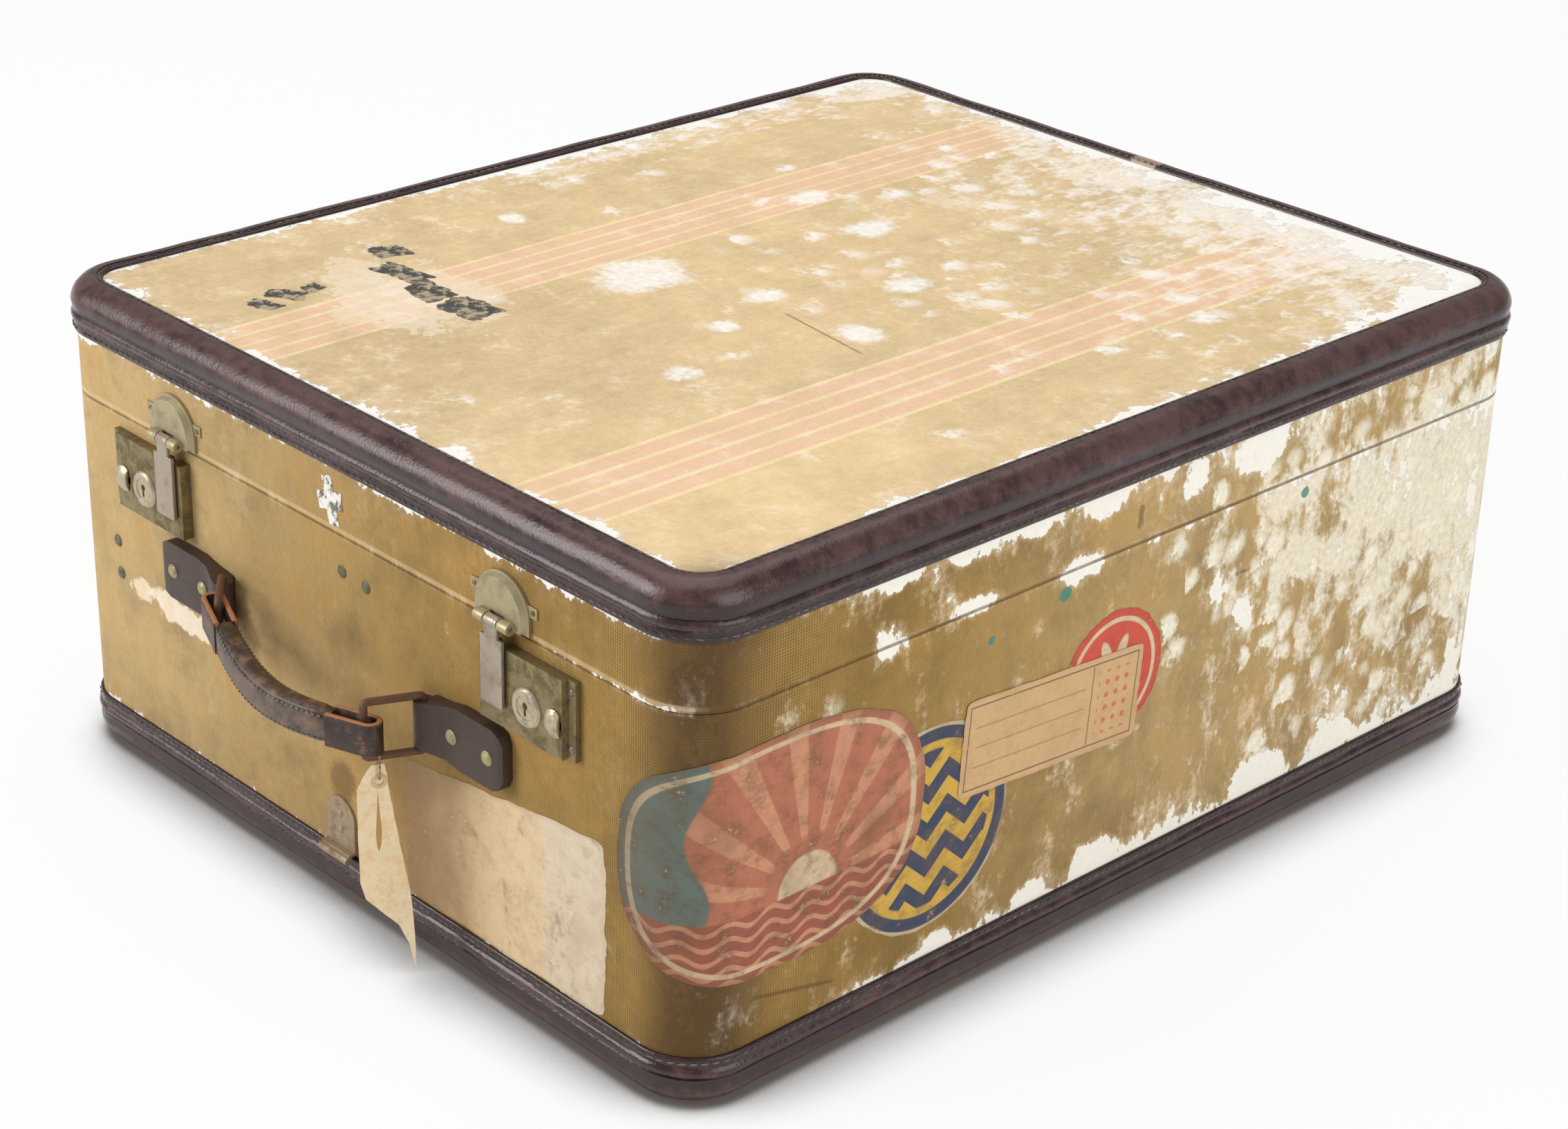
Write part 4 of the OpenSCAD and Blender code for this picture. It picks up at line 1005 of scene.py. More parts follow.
@dataclass
class Binding:
    """Leather binding sewn round one rim: a rolled edge, a second ridge below it and two rows of stitches.

    Flat is how far it reaches in from the wall, roll the radius of its edge and missing the share of lost stitches.
    """

    case: Case
    half: Half
    flat: float = 15.0
    roll: float = 10.6
    pitch: float = 4.3
    stitch: float = 3.1
    missing: float = 0.035

    def profile(self) -> list[Point]:
        """Closed section: out from the core, height below the rim, and how far the point stands out."""
        r = self.case.corner
        start = r - self.flat
        outer = [(start + 0.1, 1.95, 0.0), (start + 0.3, 1.1, 0.3), (start + 1.0, 0.62, 0.5)]
        outer += [(r - 12.9, 0.7, 0.2), (r - 12.2, 0.62, 0.3), (r - 11.2, 0.28, 0.7)]
        for k in range(13):
            a = math.radians(96.0 - 7.6 * k)
            proud = 1.0 if k < 11 else 0.6
            outer.append((18.6 + self.roll * math.cos(a), 10.62 - self.roll * math.sin(a), proud))
        outer += [(28.75, 12.0, 0.1), (28.5, 12.9, 0.0), (28.75, 13.8, 0.2)]
        for k in range(7):
            a = math.radians(48.0 - 16.0 * k)
            outer.append((25.6 + 3.95 * math.cos(a), 16.6 - 3.2 * math.sin(a), 0.75))
        outer += [(28.5, 20.4, 0.2), (28.55, 21.0, 0.15), (28.6, 22.6, 0.2), (28.45, 23.4, 0.4), (27.9, 23.9, 0.3)]
        inner = [(27.02, 23.8, 0.0), (27.02, 12.0, 0.0)]
        for a in map(math.radians, (15, 45, 75)):
            inner.append((18.0 + 9.02 * math.cos(a), 11.0 - 9.0 * math.sin(a), 0.0))
        return outer + inner + [(start + 1.0, 2.0, 0.0)]

    def rise(self, depth: float) -> float:
        """Height above the floor of a depth below the rim."""
        return self.case.high - depth if self.half is Half.LID else depth

    def leather(self, finish: bpy.types.Material) -> None:
        """Builds the binding with small dents and swells along its run."""
        piece = Piece(self.half.value + "_binding_roll", self.half.value, "binding_leather")
        section = self.profile()
        rings = []
        for station in self.case.loop(7.0):
            ring = []
            for out, depth, proud in section:
                x, y, z = self.case.at(station, out, self.rise(depth))
                swell = noise.noise(Vector((x, y, z * 2.0)) * 0.035) * 0.42
                dent = noise.noise(Vector((x, y, z)) * 0.16) * 0.14
                push = (swell + dent - 0.12) * min(1.0, proud * 1.4)
                ring.append(self.case.at(station, out + push, self.rise(max(0.0, depth - push * 0.5))))
                piece.marks.append((proud, 0.0, 0.0))
            rings.append(ring)
        piece.tube(rings, closed=True)
        piece.build(finish, self.half.value + "_binding", sharp=60.0)

    def stitching(self, finish: bpy.types.Material) -> None:
        """Sews one row near each edge of the leather."""
        piece = Piece(self.half.value + "_binding_stitches", self.half.value, "tag_string")
        stations = self.case.loop(2.0)
        length = stations[-1][4] + 2.0
        draw = random.Random(7 if self.half is Half.LID else 11)
        runs = np.array([s[4] for s in stations])
        table = np.array([s[:4] for s in stations])
        rows = ((self.case.corner - 12.95, 0.62, (0.0, 1.0)), (28.55, 21.6, (1.0, 0.0)))
        for out, depth, normal in rows:
            for i in range(int(length / self.pitch)):
                if draw.random() < self.missing:
                    continue
                start = i * self.pitch + draw.uniform(-0.2, 0.2)
                size = self.stitch * draw.uniform(0.86, 1.08)
                tilt = draw.uniform(0.1, 0.35)
                rings = []
                for share, thick in ((0.0, 0.2), (0.12, 0.75), (0.5, 1.0), (0.88, 0.75), (1.0, 0.2)):
                    here = [np.interp((start + share * size) % length, runs, table[:, j]) for j in range(4)]
                    scale = math.hypot(here[2], here[3])
                    here = [here[0], here[1], here[2] / scale, here[3] / scale]
                    slant = (share - 0.5) * tilt
                    ring = []
                    for cos, sin in turns(6):
                        lift, aside = 0.42 * thick * sin + 0.16 * thick, 0.5 * thick * cos + slant
                        o = out + normal[0] * lift + normal[1] * aside
                        d = depth - normal[1] * lift + normal[0] * aside
                        ring.append(self.case.at(here, o, self.rise(max(0.02, d))))
                    rings.append(ring)
                piece.tube(rings)
        piece.build(finish)


@dataclass
class Handle:
    """Strap handle: padded grip, two end loops, wire links and riveted tabs.

    Pairs are given left, then right. The links turn on bars at bar_x to both sides of the middle and bar_p forward of
    the canvas; link_turns and loop_turns are angles in plan, and loop_outs is how far each slot reaches past its bar.
    Inner and solid are the slot's other end and the leather behind it; row is the share of the height of a seam.
    """

    case: Case
    shift: float = -9.5
    bar_x: float = 72.0
    bar_p: float = 6.5
    link: float = 25.0
    link_turns: Pair = (38.0, 66.0)
    loop_turns: Pair = (22.0, 20.0)
    loop_outs: Pair = (12.5, 5.8)
    heights: Pair = (120.25, 115.55)
    sag: float = 3.0
    tall: float = 15.0
    thick: float = 10.6
    slot_half: float = 2.7
    strip: float = 2.6
    inner: float = 11.0
    solid: float = 3.5
    row: float = 0.36

    def bars(self) -> tuple[np.ndarray, np.ndarray]:
        """Outer bars of the two links in plan: along the case, and forward of the canvas."""
        left, right = (math.radians(t) for t in self.link_turns)
        return (
            np.array([-self.bar_x + self.link * math.cos(left), self.bar_p + self.link * math.sin(left)]),
            np.array([self.bar_x - self.link * math.cos(right), self.bar_p + self.link * math.sin(right)]),
        )

    def ways(self) -> tuple[np.ndarray, np.ndarray]:
        """Directions of the two loops in plan, towards the grip."""
        left, right = (math.radians(t) for t in self.loop_turns)
        return np.array([math.cos(left), math.sin(left)]), np.array([-math.cos(right), math.sin(right)])

    def point(self, plan: Sequence[float], z: float) -> Point:
        """Point of the frame for a place in plan and a height."""
        return (self.shift + plan[0], self.case.middle_y - self.case.deep / 2 + 2.0 - plan[1], z)

    def beside(self, place: np.ndarray, run: np.ndarray, out: float, z: float) -> Point:
        """Point of the frame at a distance across the grip's run, and at a height."""
        return self.point((place[0] - run[1] * out, place[1] + run[0] * out), z)

    def middle_line(self, u: float) -> tuple[np.ndarray, np.ndarray, float]:
        """Place, direction and height of the grip's middle line at a share of its length."""
        (bar_a, bar_d), (way_a, way_d) = self.bars(), self.ways()
        reach = self.inner + self.solid
        a, d = bar_a + reach * way_a, bar_d + reach * way_d
        pull = np.linalg.norm(d - a) / 3
        b, c = a + pull * way_a, d + pull * way_d
        place = (1 - u) ** 3 * a + 3 * (1 - u) ** 2 * u * b + 3 * (1 - u) * u * u * c + u**3 * d
        run = 3 * (1 - u) ** 2 * (b - a) + 6 * (1 - u) * u * (c - b) + 3 * u * u * (d - c)
        drop = self.sag * (1 - (2 * u - 1) ** 2) ** 2
        height = self.heights[0] + (self.heights[1] - self.heights[0]) * u - drop
        return place, run / np.linalg.norm(run), height

    def swell(self, u: float) -> float:
        """How thick the grip is at a share of its length, about 1 in its middle."""
        return 0.93 + 0.1 * math.sin(math.pi * u) ** 0.6

    def section(self, u: float) -> list[Point]:
        """Section of the grip: across, up, and how far the point stands out."""
        swell = self.swell(u)
        points = []
        for cos, sin in turns(36):
            across = math.copysign(abs(cos) ** 0.62, cos) * self.thick / 2 * swell
            up = math.copysign(abs(sin) ** 0.5, sin) * self.tall / 2 * (0.95 + 0.05 * swell)
            seam = math.exp(-(((abs(up) - self.tall * self.row) / 0.8) ** 2)) * 0.4
            across -= math.copysign(seam, across) if abs(across) > self.thick * 0.3 else 0.0
            points.append((across, up, 0.4 + 0.6 * abs(cos) - seam))
        return points

    def grip(self, finish: bpy.types.Material) -> None:
        """Builds the padded grip with its creases."""
        piece = Piece("handle_grip_leather", "handle", "handle_leather")
        rings = []
        count = 72
        for i in range(count + 1):
            u = i / count
            place, run, height = self.middle_line(u)
            pinch = 0.9 + 0.1 * min(1.0, min(u, 1.0 - u) * 14.0)
            ring = []
            for across, up, proud in self.section(u):
                wrinkle = noise.noise(Vector((u * 26.0, across * 0.35, up * 0.3))) * 0.22
                o = across * pinch * (1.0 + wrinkle * 0.06) + wrinkle * 0.5
                ring.append(self.beside(place, run, o, height + up * pinch + wrinkle * 0.4))
                piece.marks.append((proud if across > -3.0 else proud * 0.5, 0.0, 0.0))
            rings.append(ring)
        piece.tube(rings)
        grip = piece.build(finish, "handle_grip", sharp=70.0)

    def loops(self, finish: bpy.types.Material) -> None:
        """Builds each end loop as a bent strip of leather with raw edges."""
        for i, side in enumerate(Side):
            bar, way = self.bars()[i], self.ways()[i]
            across = np.array([-way[1], way[0]])
            mid = self.slot_half + self.strip / 2
            turn = self.loop_outs[i] - self.slot_half
            start = -(self.inner + self.solid + 1.2)
            steps, bends = 12, 14
            path = [np.array([start + (turn - start) * k / steps, mid]) for k in range(steps)]
            for a in (math.pi * k / bends for k in range(bends + 1)):
                path.append(np.array([turn + mid * math.sin(a), mid * math.cos(a)]))
            path += [np.array([turn + (start - turn) * k / steps, -mid]) for k in range(1, steps + 1)]
            piece = Piece(f"handle_loop_{side.word}_strip", "handle", "handle_leather")
            rings = []
            half_t, half_h, soft = self.strip / 2, self.tall / 2, 0.55
            outline = [(-1, -1, 1), (-1, -1, 0), (-1, 0, 0), (-1, 1, 0), (-1, 1, 1), (1, 1, 1), (1, 1, 0), (1, 0, 0)]
            outline += [(1, -1, 0), (1, -1, 1)]
            for k, q in enumerate(path):
                before, after = path[max(0, k - 1)], path[min(len(path) - 1, k + 1)]
                run = (after - before) / np.linalg.norm(after - before)
                side_way = np.array([-run[1], run[0]])
                ring = []
                for a, b, edge in outline:
                    t = (half_t - soft * edge) * a
                    h = (half_h - soft * (1 - edge)) * b
                    wave = noise.noise(Vector((k * 0.3, a * 0.7, b * 0.9 + i * 5.0))) * 0.16
                    at = q + side_way * (t + wave)
                    plan = bar - way * at[0] + across * at[1]
                    ring.append(self.point(plan, self.heights[i] + h + wave))
                    piece.marks.append((0.6, 1.0 if edge else 0.25 * abs(b), 0.0))
                rings.append(ring)
            piece.tube(rings)
            piece.build(finish, f"handle_loop_{side.word}", sharp=60.0)

    def stitches(self, finish: bpy.types.Material) -> None:
        """Sews the grip along the upper and lower edges of both faces."""
        piece = Piece("handle_stitches", "handle", "tag_string")
        draw = random.Random(5)
        count, first, span, fill = 30, 0.03, 0.94, 0.62
        for row, face, i in itertools.product((-1, 1), (-1, 1), range(count)):
            start = first + span * (i + draw.uniform(0.1, 0.2)) / count
            rings = []
            for share, fat in ((0.0, 0.25), (0.2, 0.85), (0.8, 0.85), (1.0, 0.25)):
                u = start + span * fill / count * share
                place, run, height = self.middle_line(u)
                lift = face * (self.thick / 2 * self.swell(u) * 0.93 - 0.12)
                ring = []
                for cos, sin in turns(6):
                    o = lift + 0.42 * fat * cos
                    z = height + row * self.tall * self.row + 0.4 * fat * sin
                    ring.append(self.beside(place, run, o, z))
                rings.append(ring)
            piece.tube(rings)
        piece.build(finish)

    def dress(self, frame: dict) -> None:
        """Builds and finishes the whole handle."""
        middle = self.case.middle
        strap = LeatherFinish((0.04, 0.019, 0.012), (0.19, 0.14, 0.108), scuff=0.6, rough=0.36, bleed=0.3)
        self.grip(strap.material("handle_leather", middle))
        tan = (0.42, 0.16, 0.055)
        ends = LeatherFinish((0.035, 0.017, 0.011), (0.11, 0.065, 0.042), tan, scuff=0.6, rough=0.4, bleed=0.35)
        self.loops(ends.material("loop_leather", middle))
        self.stitches(ThreadFinish((0.3, 0.23, 0.16), (0.12, 0.08, 0.06)).material("handle_thread"))
        tab = LeatherFinish((0.052, 0.029, 0.02), (0.13, 0.075, 0.05), scuff=0.7, rough=0.5)
        tab_leather = tab.material("tab_leather", middle)
        rust = MetalFinish((0.13, 0.075, 0.045), (0.17, 0.06, 0.024), 0.35, 0.55, 0.6, 3.0).material("rusted_wire")
        brass = MetalFinish((0.44, 0.37, 0.19), (0.28, 0.23, 0.12), 0.55, 0.5, 0.6, 2.5).material("rivet_brass")
        for side in Side:
            soften(frame, f"handle_tab_{side.word}", "base", "tab_leather", tab_leather, 0.9)
            paint(frame, rust, f"handle_link_{side.word}")
        soften(frame, "handle_tab_rivets", "base", "rivet_brass", brass, 0.5)


@dataclass
class Locks:
    """Two hasp locks: plates, rings, barrels, bolts, buttons and tongues."""

    plate: MetalFinish = MetalFinish((0.27, 0.21, 0.1), (0.13, 0.1, 0.038), 0.7, 0.42, 0.6)
    pale: MetalFinish = MetalFinish((0.5, 0.43, 0.3), (0.3, 0.25, 0.16), 0.75, 0.36, 0.5, 4.0)
    tongue: MetalFinish = MetalFinish((0.42, 0.35, 0.27), (0.28, 0.23, 0.17), 0.75, 0.38, 0.45, 8.0)
    cover: MetalFinish = MetalFinish((0.43, 0.36, 0.21), (0.3, 0.26, 0.15), 0.6, 0.44, 0.5, 9.0)
    steel: MetalFinish = MetalFinish((0.24, 0.22, 0.19), (0.09, 0.075, 0.06), 0.8, 0.45, 0.5, 3.0)

    def dress(self, frame: dict) -> None:
        """Finishes both locks."""
        plate, pale = self.plate.material("lock_plate"), self.pale.material("lock_ring")
        tongue, cover = self.tongue.material("hasp_tongue"), self.cover.material("hasp_cover")
        steel = self.steel.material("lock_steel")
        for side in Side:
            w = side.word
            soften(frame, f"lock_plate_{w}", "base", "lock_brass", plate, 0.5)
            soften(frame, f"lock_rosette_{w}", "base", "lock_nickel", pale, 0.35)
            soften(frame, f"lock_button_{w}", f"bolt_{w}", "lock_nickel", pale, 0.4)
            soften(frame, f"hasp_plate_{w}", "lid", "lock_brass", cover, 0.5)
            soften(frame, f"hasp_{w}", f"hasp_{w}", "hasp_nickel", tongue, 0.35)
            paint(frame, pale, f"lock_barrel_{w}")
            paint(frame, steel, f"lock_bolt_{w}", f"hasp_pin_{w}")
        soften(frame, "lock_rivets", "base", "lock_steel", steel, 0.3)
        soften(frame, "hasp_plate_rivets", "lid", "lock_steel", plate, 0.25)


@dataclass
class Fittings:
    """Hinges at the back, and the plate and studs low on the front."""

    hinge: MetalFinish = MetalFinish((0.4, 0.37, 0.3), (0.22, 0.17, 0.12), 0.8, 0.42, 0.5, 5.0)
    clasp: MetalFinish = MetalFinish((0.36, 0.275, 0.18), (0.25, 0.16, 0.09), 0.5, 0.5, 0.5, 5.0)
    stud: MetalFinish = MetalFinish((0.19, 0.17, 0.1), (0.1, 0.1, 0.065), 0.4, 0.6, 0.6, 2.0)

    def dress(self, frame: dict) -> None:
        """Finishes them all."""
        hinge, clasp = self.hinge.material("hinge_steel"), self.clasp.material("clasp_steel")
        stud = self.stud.material("stud_brass")
        for side in Side:
            soften(frame, f"hinge_base_leaf_{side.word}", "base", "hinge_steel", hinge, 0.35)
            soften(frame, f"hinge_lid_leaf_{side.word}", "lid", "hinge_steel", hinge, 0.35)
            paint(frame, hinge, f"hinge_pin_{side.word}")
        soften(frame, "hinge_base_rivets", "base", "hinge_steel", hinge, 0.4)
        soften(frame, "hinge_lid_rivets", "lid", "hinge_steel", hinge, 0.4)
        soften(frame, "clasp_plate", "base", "clasp_steel", clasp, 0.4)
        soften(frame, "clasp_rivets", "base", "clasp_steel", clasp, 0.3)
        soften(frame, "front_studs", "base", "stud_brass", stud, 0.35)


@dataclass
class Sticker:
    """A thin paper sheet laid on the walls or the top at a lift above the canvas, with a soft torn outline."""

    name: str
    finish: PaperFinish
    lay: Callable[[float, float, float], Point]
    body: str
    lift: float
    outline: Callable[[float, float, float], float]
    centre: Pair
    turn: float = 0.0
    thick: float = 0.13
    back: float = 0.02
    tear: float = 0.25
    rings: int = 16
    spokes: int = 240

    def build(self) -> None:
        """Builds the sheet with a front, a back and an edge."""
        piece = Piece(self.name, self.body, "tag_paper")
        a, b = self.finish.half
        cos, sin = math.cos(math.radians(self.turn)), math.sin(math.radians(self.turn))
        seed = sum(map(ord, self.name)) % 97
        flat: list[Point] = [(0.0, 0.0, 0.0)]
        for i in range(1, self.rings + 1):
            share = i / self.rings
            for ex, ey in turns(self.spokes):
                ragged = noise.fractal(Vector((ex * 3.0, ey * 3.0, seed)), 0.8, 2.2, 4)
                reach = self.outline(ex, ey, seed) + self.tear * ragged / max(a, b) * 4.0
                flat.append((ex * reach * share * a, ey * reach * share * b, share))
        count = len(flat)
        for level in (self.thick, self.back):
            for u, v, share in flat:
                puff = noise.noise(Vector((u * 0.08, v * 0.08, seed))) * 0.08 if level == self.thick else 0.0
                x, y = self.centre[0] + u * cos - v * sin, self.centre[1] + u * sin + v * cos
                piece.verts.append(self.lay(x, y, self.lift + level + puff))
                piece.sheet.append((u, v, share))
        last = 1 + (self.rings - 1) * self.spokes
        for base, turned in ((0, False), (count, True)):
            for k in range(self.spokes):
                n = (k + 1) % self.spokes
                rows = [[base, base + 1 + k, base + 1 + n]]
                for i in range(self.rings - 1):
                    p, q = base + 1 + i * self.spokes, base + 1 + (i + 1) * self.spokes
                    rows.append([p + k, q + k, q + n, p + n])
                piece.faces.extend(r[::-1] if turned else r for r in rows)
        for k in range(self.spokes):
            n = (k + 1) % self.spokes
            piece.faces.append([last + n, last + k, count + last + k, count + last + n])
        piece.build(self.finish.material(self.name + "_paper"))


def squarish(cos: float, sin: float, power: float) -> float:
    """Reach of a shape between an oval, at a power of 2, and a rectangle."""
    return (abs(cos) ** power + abs(sin) ** power) ** (-1.0 / power)


def oval(cos: float, sin: float, seed: float) -> float:
    """Outline of a disc or oval."""
    return 1.0


def cushion(cos: float, sin: float, seed: float) -> float:
    """Outline between an oval and a rectangle."""
    return squarish(cos, sin, CUSHION)


def oblong(cos: float, sin: float, seed: float) -> float:
    """Outline of a rectangle with small round corners."""
    return squarish(cos, sin, 24.0)


def torn(cos: float, sin: float, seed: float) -> float:
    """Outline of a torn block with notches."""
    bite = noise.noise(Vector((cos * 1.6, sin * 1.6, seed * 1.7)))
    small = noise.noise(Vector((cos * 5.0, sin * 5.0, seed * 0.7)))
    return squarish(cos, sin, 12.0) * max(0.4, 0.9 + bite * 0.24 + small * 0.12)


def crossed(cos: float, sin: float, seed: float) -> float:
    """Outline of a small scrap with four square arms."""
    across, up = max(abs(cos), 1e-6), max(abs(sin), 1e-6)
    uneven = 1.0 + 0.16 * noise.noise(Vector((cos * 2.0, sin * 2.0, seed)))
    return max(min(1.0 / across, 0.36 / up), min(0.4 / across, 1.0 / up)) * uneven


@dataclass
class Papers:
    """Stickers on the right wall, a label on the front and torn scraps."""

    case: Case
    scraps: tuple[tuple[float, ...], ...] = (
        (-126.0, -207.0, 8.0, 5.0, 20.0), (-131.0, -192.0, 10.0, 6.0, 35.0), (-130.0, -178.0, 5.0, 5.0, 10.0),
        (-147.0, -124.0, 8.0, 9.0, -12.0), (-120.0, -136.0, 16.0, 7.0, 8.0), (-94.0, -141.0, 13.0, 9.0, -6.0),
        (-67.0, -140.0, 15.0, 10.0, 4.0),
    )
    label_at: Pair = (-86.5, 61.0)
    label_span: Pair = (127.0, 82.0)
    label_foot: float = 25.0
    label_climb: float = 18.0

    def slanted(self, s: float, z: float, lift: float) -> Point:
        """Point on the front wall for the label, whose upper edge climbs to the right."""
        along = (s - self.label_at[0]) / self.label_span[0]
        up = max(0.0, (z - self.label_foot) / self.label_span[1])
        return self.case.wall(s, z + along * self.label_climb * up, lift)

    def dress(self) -> None:
        """Lays every sheet."""
        wall, top = self.case.wall, self.case.top
        cream, coral, teal = (0.72, 0.57, 0.36), (0.47, 0.16, 0.085), (0.085, 0.18, 0.165)
        yellow, navy, red = (0.66, 0.4, 0.06), (0.035, 0.05, 0.1), (0.64, 0.085, 0.05)
        pinkish, dark = (0.66, 0.42, 0.2), (0.1, 0.06, 0.06)
        # The label's dark colour stands for a stain and the tag's painted shadow.
        straw, stain_and_shadow_brown, chalk = (0.74, 0.56, 0.34), (0.24, 0.135, 0.055), (0.7, 0.6, 0.46)
        white, dull, soot = (0.9, 0.88, 0.82), (0.88, 0.86, 0.79), (0.16, 0.15, 0.13)
        buff, black, khaki = (0.66, 0.52, 0.34), (0.055, 0.055, 0.05), (0.5, 0.42, 0.27)
        sheets = [
            Sticker(
                "sticker_round_yellow",
                PaperFinish(cream, navy, yellow, Motif.CHEVRON, (47.0, 47.0), (0.16, 0.1, 0.05), 0.75),
                wall, "base", 0.05, oval, (144.0, 85.0),
            ),
            Sticker(
                "sticker_round_red",
                PaperFinish(cream, red, cream, Motif.PETALS, (31.0, 31.0), (0.2, 0.07, 0.04), 0.55),
                wall, "base", 0.05, oval, (253.0, 118.0), turn=10.0,
            ),
            Sticker(
                "sticker_oval_coral",
                PaperFinish(cream, coral, teal, Motif.SUNRISE, (78.0, 52.0), (0.12, 0.07, 0.03), 0.8),
                wall, "base", 0.24, cushion, (63.0, 106.0),
            ),
            Sticker(
                "sticker_ticket",
                PaperFinish(pinkish, dark, red, Motif.RULED, (54.5, 22.0), soil=0.3),
                wall, "base", 0.42, oblong, (216.5, 110.0), turn=-4.0,
            ),
            Sticker(
                "label_front",
                PaperFinish(straw, stain_and_shadow_brown, chalk, Motif.BLANK, (64.5, 36.5), (0.26, 0.15, 0.07), 0.4),
                self.slanted, "base", 0.05, oblong, self.label_at, tear=0.6,
            ),
            Sticker(
                "scrap_lid_front",
                PaperFinish(white, dull, soot, Motif.SCRAP, (8.5, 11.0), soil=0.1),
                wall, "lid", 0.05, crossed, (-198.0, 190.0), turn=12.0, tear=0.15,
            ),
        ]
        for i, (x, y, wide, long, turn) in enumerate(self.scraps):
            finish = PaperFinish(buff, black, khaki, Motif.SCRAP, (wide, long), (0.3, 0.22, 0.14), 0.6)
            name = f"scrap_top_{i + 1}"
            sheets.append(Sticker(name, finish, top, "lid", 0.05, torn, (x, y), turn, tear=0.3, rings=8))
        for sheet in sheets:
            sheet.build()


